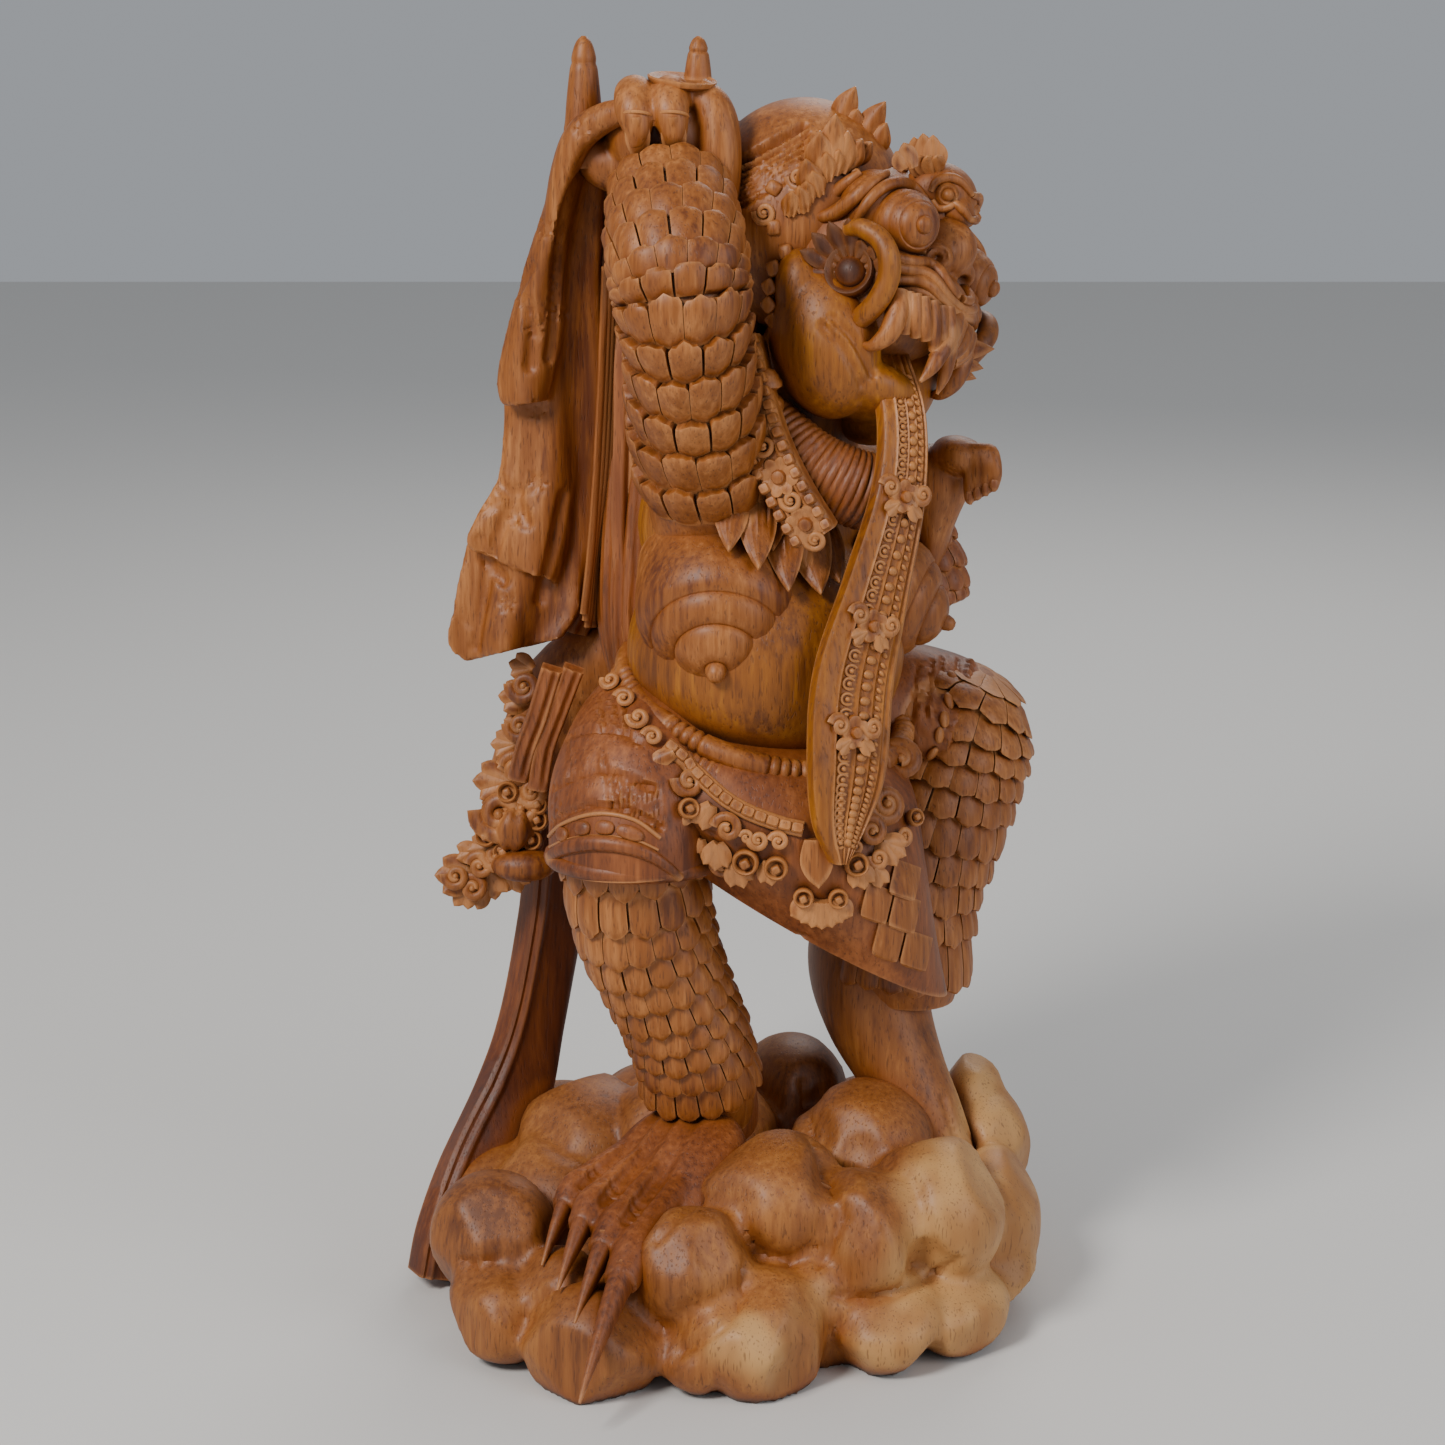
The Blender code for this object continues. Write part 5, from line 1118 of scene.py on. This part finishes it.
def make_head(dome):
    """The face, from the brow bands and eyes to the teeth, ear plugs and jaw."""
    close = lambda points: enlarged(740, 120, 0.1658, points)
    shells = [
        egg(head_spot(4, 2.5, -2), (29, 33, 34), CROWN, FORWARD, 80, 50),
        egg(head_spot(26, 2.5, -12), (13, 19, 9), CROWN, FORWARD, 60, 40),
        egg(head_spot(29.5, 2.5, 4), (11.5, 9.5, 10), CROWN, FORWARD, 60, 40),
        egg(head_spot(24, 2.5, 14), (10, 8, 9), CROWN, FORWARD, 48, 30),
        egg(head_spot(32, 9.5, -1.5), (6, 5.5, 5), CROWN, FORWARD, 36, 22),
        egg(head_spot(32, -4.5, -1.5), (6, 5.5, 5), CROWN, FORWARD, 36, 22),
        egg(head_spot(17, -18, 9), (11, 14, 12), CROWN, FORWARD, 48, 30),
        egg(head_spot(17, 23, 9), (11, 14, 12), CROWN, FORWARD, 48, 30),
        egg(head_spot(24, -14, -9), (9, 10, 8), CROWN, FORWARD, 48, 30),
        egg(head_spot(24, 19, -9), (9, 10, 8), CROWN, FORWARD, 48, 30),
    ]
    face = carve("face", shells, golden, grain=0.85, soften=2,
                 relief=(([[p] for p in close([(1195, 838), (1357, 990)])], 3.6, 3.6),
                         ([close([(890, 1110), (960, 1066), (1090, 1076), (1190, 1135), (1270, 1205),
                                  (1310, 1300)])], 1.6, 1.4),
                         ([close([(1160, 592), (1230, 582), (1300, 555), (1350, 600)]),
                           close([(1130, 790), (1160, 770), (1230, 790), (1250, 850)])], 1.1, 0.8)))
    ground = cover(face)
    bands = []
    for pixels, wide in (
        ([(430, 595), (560, 580), (690, 480), (790, 385), (900, 325), (1010, 340), (1090, 410), (1150, 490),
          (1255, 512)], (1.2, 2.4, 2.6, 2.4, 2.0, 1.3)),
        ([(700, 615), (740, 540), (810, 450), (900, 392), (1000, 392), (1085, 452), (1120, 520)],
         (1.0, 1.8, 2.0, 1.8, 1.2)),
        ([(425, 545), (540, 480), (660, 385), (780, 290), (900, 268), (1020, 318), (1110, 400), (1190, 470),
          (1265, 450)], (1.0, 2.2, 2.8, 2.6, 2.0, 1.3)),
        ([(545, 310), (640, 240), (760, 203), (860, 208), (930, 265), (990, 310)], (1.0, 1.8, 2.2, 1.8, 1.2)),
        ([(640, 320), (700, 330), (720, 290), (680, 270)], (1.0, 1.3, 0.8)),
    ):
        bands.append(cord(ground, close(pixels), wide, 0.95, 0.7))
    for pixels, wide in (
        ([(905, 735), (1010, 778), (1120, 795)], (1.0, 1.7, 1.0)),
        ([(935, 835), (1050, 860), (1130, 870), (1200, 920), (1250, 1000), (1305, 1060)], (1.9, 2.1, 1.9, 1.4)),
        ([(940, 890), (1040, 907), (1130, 935), (1190, 990), (1250, 1068), (1310, 1120)], (1.9, 2.1, 1.9, 1.4)),
        ([(935, 958), (1040, 962), (1130, 992), (1200, 1062), (1270, 1138), (1300, 1185)],
         (1.9, 2.3, 2.1, 1.5)),
        ([(900, 1050), (960, 1020), (1090, 1030), (1200, 1095), (1290, 1180), (1325, 1250)],
         (1.4, 1.9, 1.9, 1.2)),
    ):
        bands.append(cord(ground, close(pixels), wide, 1.15, 0.3))
    carve("brows_and_cheeks", on_both(bands), golden, sharp=60)

    # Eyes: a bulging dome, ringed by fine grooves, with a small ringed pupil.
    rings = [(0, 14.6), (1.2, 14.4), (2.2, 13.8), (2.7, 13.0), (2.8, 12.2), (3.3, 12.3), (4.6, 12.0),
             (5.8, 11.2), (6.7, 10.2), (7.0, 9.4), (7.5, 9.4), (8.3, 8.3), (9.1, 6.6), (9.3, 5.6), (9.8, 5.2),
             (10.3, 3.0), (10.4, 0), (9.8, -5), (0, -7)]
    centre, way = seen(902, 223, -25.0), FORWARD * 0.90 - LEFT * 0.33 - CROWN * 0.25
    carve("eyes", [turned(centre, way, rings, 56),
                   turned(mirrored(centre) - FORWARD * 3.5, mirrored_way(way), rings, 56)], golden, sharp=50)

    # The second, smaller face on the forehead, with a ruffled leaf on top.
    small = [egg(head_spot(25, 2.5, 22), (11.5, 13, 10.5), CROWN, FORWARD, 60, 36),
             egg(head_spot(33, 2.5, 16), (5, 6, 5), CROWN, FORWARD, 36, 20)]
    small_face = carve("small_face", small, golden, grain=0.8, soften=2)
    ground = cover(small_face, face)
    crest = []
    spot, out = landed(ground, *close([(1250, 450)])[0], -0.5)
    crest.append(turned(spot, out, [(0, 3.4), (1.3, 3.0), (1.8, 2.0), (2.0, 1.2), (2.8, 1.5), (3.7, 0.6),
                                    (3.9, -1), (0, -2)], 28))
    for pixels, wide in (([(1150, 430), (1180, 375), (1250, 350), (1330, 375), (1395, 450)],
                          (0.9, 1.6, 1.6, 1.0)),
                         ([(1160, 480), (1200, 530), (1270, 520), (1300, 470)], (0.8, 1.4, 1.3, 0.8)),
                         ([(1290, 500), (1340, 540), (1385, 600)], (1.2, 1.6, 1.0)),
                         ([(940, 290), (1040, 260), (1130, 245), (1200, 265)], (1.0, 1.6, 1.0))):
        crest.append(cord(ground, close(pixels), wide, 1.1, 0.2))
    crest = on_both(crest)
    for root, tip in (((1000, 290), (935, 190)), ((1035, 290), (985, 135)), ((1080, 290), (1050, 100)),
                      ((1120, 285), (1105, 78)), ((1160, 280), (1165, 88)),
                      ((1190, 275), (1200, 130))):
        crest.append(blade(ground, close([root])[0], close([tip])[0], 3.0, 2.0, 1.0, 2, 2.2))
    for root, tip in (((1110, 300), (1060, 215)), ((1150, 300), (1120, 205)), ((1190, 290), (1185, 200)),
                      ((1080, 310), (1020, 240))):
        crest.append(blade(ground, close([root])[0], close([tip])[0], 2.6, 1.8, 1.0, 2, 2.2, 4.0))
    carve("crest", crest, golden, sharp=50)

    flames = []
    ground = cover(small_face, face, dome)
    for root, tip, width in (((480, 330), (480, 60), 5.2), ((545, 320), (575, -40), 5.4),
                             ((600, 300), (650, 60), 5.0), ((430, 430), (395, 230), 4.6),
                             ((470, 440), (430, 300), 3.8), ((640, 270), (740, 110), 4.4),
                             ((380, 540), (355, 390), 3.6), ((520, 350), (520, 190), 3.6),
                             ((700, 240), (800, 130), 3.6), ((410, 480), (400, 360), 3.2),
                             ((560, 300), (600, 170), 3.4), ((300, 560), (320, 420), 3.4)):
        flames.append(blade(ground, close([root])[0], close([tip])[0], width, 2.8, 1.0, 3, 1.2, 3.0))
    for root, tip in (((838, 122), (856, 86)), ((862, 136), (886, 101)), ((873, 150), (887, 122)),
                      ((850, 128), (858, 108))):
        spot = seen(*root, 2.0)
        end = seen(*tip, 0.0)
        flames.append(leaf(spot, end - spot, -SIGHT, np.linalg.norm(end - spot), 4.6, 3.0, 1.0, 1))
    carve("brow_flames", flames, golden, sharp=50)

    # Teeth, the hooked corner fangs and the long front fangs.
    teeth = []
    for top, middle, tip, depth, wide in (
        ((906, 292), (906, 314), (905, 332), -37, 2.7), ((914, 294), (915, 316), (916, 336), -37, 2.5),
        ((922, 297), (924, 320), (926, 339), -36, 2.5),
        ((931, 301), (933, 326), (935, 350), -34, 2.5), ((939, 306), (941, 334), (941, 364), -31, 2.5),
    ):
        run = [(*seen(*top, depth), wide, wide), (*seen(*middle, depth - 1.5), wide, wide),
               (*seen(*tip, depth), wide * 0.8, wide * 0.85)]
        teeth.append(limb(run, (1, 0, 0), 18, 20))
    fang = [(*seen(px, py, depth), wide, wide * 1.1) for px, py, depth, wide in (
        (946, 308, -28, 2.8), (948, 330, -30, 3.0), (948, 354, -31, 2.7), (944, 376, -32, 2.0),
        (937, 394, -32, 0.5))]
    hook = [(*seen(px, py, depth), wide, wide) for px, py, depth, wide in (
        (898, 292, -37, 3.4), (897, 312, -40, 3.6), (890, 331, -42, 3.3), (879, 342, -42, 2.5),
        (870, 346, -41, 1.7), (861, 343, -39, 0.5))]
    teeth += [limb(fang, (1, 0, 0), 20, 34), limb(hook, (1, 0, 0), 20, 34)]
    carve("teeth", on_both(teeth), golden, sharp=60)

    loop = [(*seen(px, py, depth), wide, wide) for px, py, depth, wide in (
        (848, 229, -33, 2.4), (862, 228, -37, 3.0), (880, 239, -40, 3.3), (889, 258, -42, 3.5),
        (888, 280, -42, 3.5), (877, 302, -41, 3.5), (862, 317, -38, 3.4), (846, 328, -33, 3.0))]
    carve("tusk_rings", on_both([limb(loop, (1, 0, 0), 20, 36)]), amber)
    place, way = seen(853, 273, -31.0), unit(-SIGHT - ASIDE * 0.35 + UP * 0.1)
    dish = turned(place, way, [(0, 6.4), (2.4, 6.0), (4.0, 4.8), (4.7, 3.4), (4.9, 2.6), (5.6, 3.2),
                               (6.8, 5.2), (7.5, 5.4), (8.0, 4.2), (7.6, -6), (0, -7)], 48)
    petals = []
    side = unit(np.cross(way, UP))
    for number in range(15):
        angle = number / 15 * 2 * math.pi
        out = UP * math.cos(angle) + side * math.sin(angle)
        petals.append(leaf(place + out * 5.5 + way * 1.0, out + way * 0.30, way, 12.0 if angle < 3.6 else 6.0,
                           2.9, 1.8, 1.4, 1, 1.8))
    # The ear plugs take the darker copy of the wood: painted shade, because they sit in shadow beside the jaw.
    carve("ear_plugs", on_both([dish] + petals), shadowed_wood, sharp=50)

    shells = [egg(head_spot(5, -15, -33), (18, 15, 24), CROWN - LEFT * 0.5 - FORWARD * 0.2, FORWARD, 64, 40),
              egg(head_spot(5, 20, -33), (18, 15, 24), CROWN + LEFT * 0.5 - FORWARD * 0.2, FORWARD, 64, 40),
              egg(head_spot(12, 2.5, -43), (16, 18, 9), CROWN, FORWARD, 64, 30),
              egg(seen(799, 290, -24), (8, 10, 13), around=48, rows=30)]
    mouth = close([(530, 1215), (585, 1275), (640, 1330), (710, 1450), (770, 1570)])
    lips = [[(x + shift * 1.4, y - shift) for x, y in mouth] for shift in (-4, 4)]
    carve("jaw", shells, amber, grain=0.95, soften=3, relief=((lips, 1.9, 1.2),))
    leaves = []
    for root, tip, width in (((1200, 1380), (1525, 1385), 4.4), ((1200, 1430), (1455, 1500), 4.0),
                             ((1220, 1360), (1400, 1335), 3.4), ((1210, 1480), (1410, 1560), 3.4),
                             ((1230, 1240), (1385, 1160), 3.4)):
        start, end = close([root, tip])
        spot, tip_spot = seen(*start, -12.0), seen(*end, -9.0)
        leaves.append(leaf(spot, tip_spot - spot, -SIGHT, np.linalg.norm(tip_spot - spot), width, 2.0, 1.5, 2))
    carve("cheek_flames", leaves, golden, sharp=50)
    beads = []
    for number, (x, y) in enumerate(close([(210, 650), (283, 800), (208, 900), (182, 1010), (178, 1118),
                                           (208, 1212), (278, 1288), (350, 1330), (210, 415)])):
        beads.append(egg(seen(x, y, -22.0 - 0.05 * (y - 230)), (2.3, 2.6, 2.7), (-0.3, -1, 0.2),
                         (1, 0, 0.2 * number), 12, 8, 0.5))
    for x, y, turn in ((150, 560, 1), (300, 490, -1), (350, 350, 1)):
        beads += scroll(seen(740 + x * 0.1658, 120 + y * 0.1658, -22), (-0.4, -1, 0.1), 3.6, 1.4, hand=turn)
    carve("jaw_beads", beads, golden, sharp=40)


def make_neckpiece():
    """The strap of square beads and flowers, the fur collar under it, and the ear pendant."""
    near = [(6, -25, 322), (9, -35, 308), (14, -43, 293), (21, -47, 279), (29, -48, 266)]
    run = course([(*p, 6.5) for p in near], 120)
    across = (0.9, -0.2, 0.45)

    def ridges(u, v):
        return 0.7 * (band(np.abs(u), 0.40, 0.52, 0.02)) - 0.4 * band(np.abs(u), -1, 0.38, 0.02)

    shells = [ribbon([(*p, 7.0) for p in near], across, 8.0, 56, 28, ridges)]
    along, side, other = directions(run[:, :3], np.array(across, float))
    other = np.where(other[:, 1:2] > 0, -other, other)
    for share in (-0.78, 0.78):
        shells += strung(run[:, :3] + side * 7.0 * share + other * 4.2, other[60], 1.7, 1.75, 1.9, 0.5, 15)
    for i in (14, 46, 78, 108):
        shells.append(flower(run[i, :3] + other[i] * 4.0, other[i], 6.6, 8))
        shells += scroll(run[min(i + 15, 119), :3] + other[i] * 4.2, other[i], 3.4, 1.4)
    carve("neck_strap", shells, golden, sharp=45)
    collar = [(14, -26, 298, 9, 8), (28, -33, 285, 11, 9), (44, -32, 277, 12, 9), (56, -20, 275, 11, 8)]

    def fur(u, v):
        return 0.9 * np.abs(np.sin(math.pi * 26 * v + 2 * u)) ** 0.7 - 0.5

    carve("fur_collar", [limb(collar, (0, 0, 1), 36, 150, fur)], brown, sharp=60)
    pendant = [(0, 15), (2.6, 14.4), (4, 13), (4.4, 12.2), (5.3, 11.4), (5.5, 10), (4.4, 9), (3.5, 8),
               (3.4, 7), (5.4, 6.4), (6.5, 5), (6.7, 3), (6.3, 1.2), (5.2, 0.2), (4.8, -0.8), (3.4, -3),
               (2.2, -4.6), (0, -5)]
    carve("ear_pendant", [turned((12, -33, 301), (0.1, -0.1, 1), pendant, 40)], golden, sharp=45)


def make_tongue():
    """The long tongue, its borders of curls and beads, and three knots of flowers."""
    path = [(50, -20, 318, 7.5), (55, -34, 301, 7.5), (54, -42, 278, 8.5), (47, -50, 250, 11),
            (40, -58, 223, 13.5), (38, -65, 197, 13), (36, -68, 181, 9), (35.5, -70, 168, 2)]
    facing = (0.86, 0.50, -0.08)

    def borders(u, v):
        lines = sum(band(u, at, at + 0.07, 0.015) for at in (-0.52, 0.02, 0.40, 0.70))
        return 0.9 * lines + 1.0 * band(u, 0.88, 1.05, 0.02) - 0.5 * band(u, -0.45, 0.85, 0.02)

    shells = [ribbon(path, facing, 6.0, 100, 48, borders)]
    run = course(path, 300)
    along, side, other = directions(run[:, :3], np.array(facing))
    other = np.where(other[:, 1:2] > 0, -other, other)
    for i in np.linspace(24, 276, 38).astype(int):
        place, out, size = run[i, :3] + other[i] * 2.7, other[i], run[i, 3] / 13.5
        curl = place - side[i] * run[i, 3] * 0.22
        shells.append(ring(curl, out, side[i], 0.9 + 1.3 * size, 1.7, 0.55, (0.12, 0.88), 14, 7))
        shells.append(egg(curl + out * 0.2, (0.9, 0.9, 0.9), out, side[i], 8, 5))
        shells.append(egg(place + side[i] * run[i, 3] * 0.25, (0.8 + 1.1 * size, 1.5, 1.2), out, side[i], 12,
                          7))
    for i in np.linspace(20, 280, 60).astype(int):
        place = run[i, :3] + other[i] * 2.6 + side[i] * run[i, 3] * 0.60
        shells.append(egg(place, (1.3, 0.75, 1.0), other[i], unit(side[i] + along[i] * 0.8), 8, 5))
    carve("tongue", shells, amber, sharp=50)
    knots = []
    for y in (498, 626, 732):
        nearest = int(np.argmin(np.abs(pixel(run[:, :3])[1] - y)))
        spot = run[nearest, :3] + other[nearest] * 4.0
        knots.append(flower(spot, other[nearest], 5.6, 5))
        for turn in (-1, 1):
            knots += scroll(spot + side[nearest] * 6.0 * turn - along[nearest] * 2.0, other[nearest], 3.2, 1.4,
                            0.32, hand=turn)
            knots += fan(spot + side[nearest] * 3.0 * turn + along[nearest] * 3.0,
                         side[nearest] * turn + along[nearest], other[nearest], 5.0, 2)
    carve("tongue_knots", knots, golden, sharp=50)


def make_held_cloth():
    """The cloth that the raised hand holds, in four folds under a roll, with hair beside it."""
    cloth = lambda points: enlarged(420, 80, 1 / 3, points)
    back = draped([(570, 140), (552, 213), (543, 293), (538, 380), (532, 480), (522, 560), (518, 612)],
                  [(622, 120), (604, 180), (600, 260), (603, 340), (610, 430), (612, 520), (606, 600)],
                  (2, 8, 12, 14, 14), 5,
                  lambda u, v: 1.4 * np.sin(2 * math.pi * (1.0 * u + 0.1)))
    upper = draped([(604, 122), (566, 146), (541, 213), (516, 293), (497, 372), (500, 402), (509, 407)],
                   [(632, 116), (592, 150), (574, 210), (566, 260), (562, 320), (556, 365), (546, 402)],
                   (-6, 0, 4, 5, 4), 10,
                   lambda u, v: 1.2 * np.sin(2 * math.pi * (0.9 * u + 0.25)) * v)
    middle = draped([(530, 265), (505, 372), (503, 425), (497, 477), (476, 516), (466, 545), (490, 560)],
                    [(585, 200), (580, 300), (576, 400), (574, 470), (570, 520), (564, 560), (556, 585)],
                    (13, 12, 9, 8), 7,
                    lambda u, v: 2.2 * np.sin(2 * math.pi * (1.3 * u + 0.15 + 0.15 * v)) * v)
    lower = draped([(505, 470), (472, 530), (460, 570), (452, 610), (447, 643), (463, 663)],
                   [(585, 470), (584, 520), (582, 560), (580, 590), (578, 612), (560, 640)],
                   (15, 13, 11, 10), 6,
                   lambda u, v: 3.0 * np.sin(2 * math.pi * (1.7 * u + 0.35 + 0.2 * v)) * v)
    roll = limb([(*seen(px, py, depth), a, b) for px, py, depth, a, b in (
        (634, 108, -18, 3.5, 3.5), (604, 118, -12, 4.5, 5), (580, 136, -8, 5, 6), (566, 168, -5, 4.6, 6.5),
        (556, 215, -2, 4, 6.5), (546, 270, 1, 3.2, 5.5), (536, 330, 4, 2.2, 4),
        (528, 385, 6, 1.4, 2.4))], (1, 0, 0), 40, 70)
    creases = [cloth(line) for line in ([(590, 170), (500, 250), (440, 380), (410, 560), (400, 760),
                                         (390, 830)], [(325, 700), (335, 760), (330, 860)])]
    folds = [cloth(line) for line in ([(230, 1200), (280, 1260), (320, 1330)],
                                      [(290, 1240), (225, 1400), (190, 1560), (165, 1700)],
                                      [(430, 1250), (400, 1400), (360, 1560)],
                                      [(330, 560), (290, 640), (265, 720)],
                                      [(180, 1380), (200, 1450), (250, 1500)])]
    petals = []
    for x, y, size in ((485, 150, 26), (375, 450, 30), (350, 750, 28), (350, 990, 26), (355, 1210, 28),
                       (290, 1310, 26), (210, 1275, 24), (265, 1570, 26), (300, 420, 22), (420, 700, 22)):
        for k in range(6):
            way = np.array([math.cos(k * math.pi / 3 + x), math.sin(k * math.pi / 3 + x)])
            petals.append(cloth([(x + way[0] * size * 0.35, y + way[1] * size * 0.35),
                                 (x + way[0] * size, y + way[1] * size)]))
    combs = []
    for start, end, count in (((300, 640), (390, 690), 9), ((200, 1430), (270, 1490), 8),
                              ((95, 1570), (170, 1620), 8)):
        for k in range(count):
            x, y = (start[0] + (end[0] - start[0]) * k / count, start[1] + (end[1] - start[1]) * k / count)
            combs.append(cloth([(x, y), (x - 8, y + 34)]))
    carve("held_cloth", [back, upper, middle, lower, roll], golden, grain=1.05, soften=4,
          relief=((creases, 3.0, 1.8), (folds, 3.0, 1.5), (petals, 0.9, 0.8), (combs, 0.8, 0.6)))
    behind = [(-36, 16, 372, 11, 7), (-44, 22, 330, 14, 9), (-48, 26, 280, 16, 11), (-54, 28, 236, 17, 12),
              (-58, 26, 222, 15, 11)]
    carve("cloth_back", [limb(behind, (0.85, -0.5, 0), 112, 40,
                              lambda u, v: 0.7 * np.cos(2 * math.pi * u * 14))], golden)
    strands = []
    for k in range(7):
        x = 560 + 12 * k
        line = cloth([(x - 5, 560 - 20 * k), (x - 12, 760), (x - 20, 960), (x - 32, 1180),
                      (x - 50 - 6 * k, 1420), (x - 70 - 6 * k, 1600 + 20 * (k % 3))])
        strands.append(limb([(*seen(px, py, 2 + 1.2 * k), 1.3, 1.6) for px, py in line], (1, 0, 0), 10, 50,
                            lambda u, v: 0.2 * np.cos(2 * math.pi * u * 3)))
    carve("side_hair", strands, brown, sharp=60)


def make_sash_and_bustle():
    """Behind: the sash that runs down to the rocks, and the stack of leaves and scrolls above it."""
    path = [(-40, 28, 176, 13), (-52, 30, 150, 13), (-58, 30, 118, 11), (-65, 28, 82, 11), (-72, 20, 57, 13),
            (-84, 4, 34, 13), (-92, -5, 18, 11), (-96, -8, 3, 10)]

    def ridges(u, v):
        return 1.3 * (band(u, -1.1, -0.86, 0.02) + band(u, -0.74, -0.56, 0.02))

    points, faces = ribbon(path, (0.86, 0.5, 0), 11, 70, 40, ridges)
    points[:, 2] = np.maximum(points[:, 2], 0)
    carve("rear_sash", [(points, faces)], deep)
    bustle = lambda x, y, depth=12.0: seen(400 + x / 5, 680 + y / 5, depth)
    shells = [limb([(-30, 26, 214, 12, 15), (-50, 31, 200, 12, 16), (-58, 34, 180, 12, 17),
                    (-64, 36, 160, 12, 17), (-70, 37, 146, 11, 14),
                    (-78, 37, 138, 7, 10)], (0, 1, 0), 32, 24)]
    face = np.array([-0.1, -1.0, 0.25])
    for x, y, size, way, lobes in (
        (640, -60, 7, (-1, 0.3), 3), (620, 90, 9, (-1, 0.1), 3), (610, 230, 7, (-1, 0), 2),
        (560, 320, 7.5, (-1, 0), 3), (570, 410, 6.5, (-1, 0), 2), (520, 510, 11, (-1, 0.05), 3),
        (500, 640, 7, (-1, 0), 2), (470, 725, 8.5, (-1, 0), 3), (450, 840, 8, (-1, -0.1), 3),
        (380, 860, 7.5, (-1, 0), 2), (330, 975, 11, (-1, 0), 3), (420, 1060, 7, (-0.8, -0.5), 3),
        (450, 980, 9, (-0.1, -1), 4), (560, 960, 8, (0.4, -1), 3), (340, 1040, 8, (-0.6, -0.8), 3),
    ):
        shells += fan(bustle(x, y), (way[0], 0, way[1]), face, size, lobes, 0.55)
    for x, y, size, turns, hand in ((620, 30, 5.0, 1.5, 1), (580, 440, 5.0, 1.5, -1), (500, 670, 8.0, 1.6, 1),
                                    (610, 640, 6.0, 1.4, -1), (480, 880, 4.6, 1.5, 1),
                                    (280, 980, 4.0, 1.4, 1), (365, 1040, 4.6, 1.5, -1),
                                    (600, 230, 4.6, 1.4, 1), (660, 560, 5.0, 1.5, 1),
                                    (400, 930, 4.4, 1.4, -1)):
        shells += scroll(bustle(x, y, 8.0), face, size, turns, 0.30, hand=hand)
    shells.append(egg(bustle(570, 740, 8.0), (7, 7, 8), (0.2, 0, 1), around=28, rows=18,
                      relief=lambda u, v: 0.06 * np.cos(2 * math.pi * u * 6)))
    shells.append(egg(bustle(620, 925, 6.0), (11, 7, 5.5), (0, 0, 1), around=36, rows=20))
    for x, y in ((690, 620), (690, 700), (660, 800), (540, 560), (430, 780), (520, 860)):
        shells += cup(bustle(x, y, 8.0), face, 3.6)
    carve("bustle", shells, golden, sharp=50)


def floor_and_light():
    """A pale floor, three soft lamps, and the photograph's own camera."""
    bpy.ops.object.select_all(action="DESELECT")
    bpy.ops.mesh.primitive_plane_add(size=6, location=(0, 0, 0))
    floor = bpy.context.active_object
    floor.name = "floor"
    paper = bpy.data.materials.new("pale_floor")
    paper.use_nodes = True
    paper.node_tree.nodes["Principled BSDF"].inputs["Base Color"].default_value = srgb("#d8d6d2")
    paper.node_tree.nodes["Principled BSDF"].inputs["Roughness"].default_value = 0.85
    floor.data.materials.append(paper)
    for name, place, size, power, tint in (
        ("key_light", (-0.75, -0.95, 1.15), 0.45, 20.0, (1.0, 0.97, 0.94)),
        ("fill_light", (1.1, -0.8, 0.7), 0.9, 6.5, (0.94, 0.96, 1.0)),
        ("back_light", (0.3, 1.1, 1.1), 0.8, 6.0, (1.0, 0.97, 0.94)),
    ):
        lamp = bpy.data.lights.new(name, "AREA")
        lamp.shape = "DISK"
        lamp.size = size
        lamp.energy = power
        lamp.color = tint
        light = bpy.data.objects.new(name, lamp)
        light.location = place
        light.rotation_euler = (Vector((0, 0, 0.2)) - Vector(place)).to_track_quat("-Z", "Y").to_euler()
        bpy.context.scene.collection.objects.link(light)
    world = bpy.data.worlds.new("studio")
    world.use_nodes = True
    world.node_tree.nodes["Background"].inputs[0].default_value = (0.80, 0.84, 0.90, 1.0)
    world.node_tree.nodes["Background"].inputs[1].default_value = 0.42
    bpy.context.scene.world = world
    lens = bpy.data.cameras.new("camera")
    lens.angle = 2 * HALF_VIEW
    camera = bpy.data.objects.new("camera", lens)
    camera.location = Vector((EYE + AXIS) / METRE)
    camera.rotation_euler = Vector(SIGHT).to_track_quat("-Z", "Y").to_euler()
    bpy.context.scene.collection.objects.link(camera)
    bpy.context.scene.camera = camera


make_rocks()
make_near_leg()
make_far_leg()
make_skirt(make_body())
make_arms()
make_raised_hand()
make_head(make_hair())
make_neckpiece()
make_tongue()
make_held_cloth()
make_sash_and_bustle()
floor_and_light()
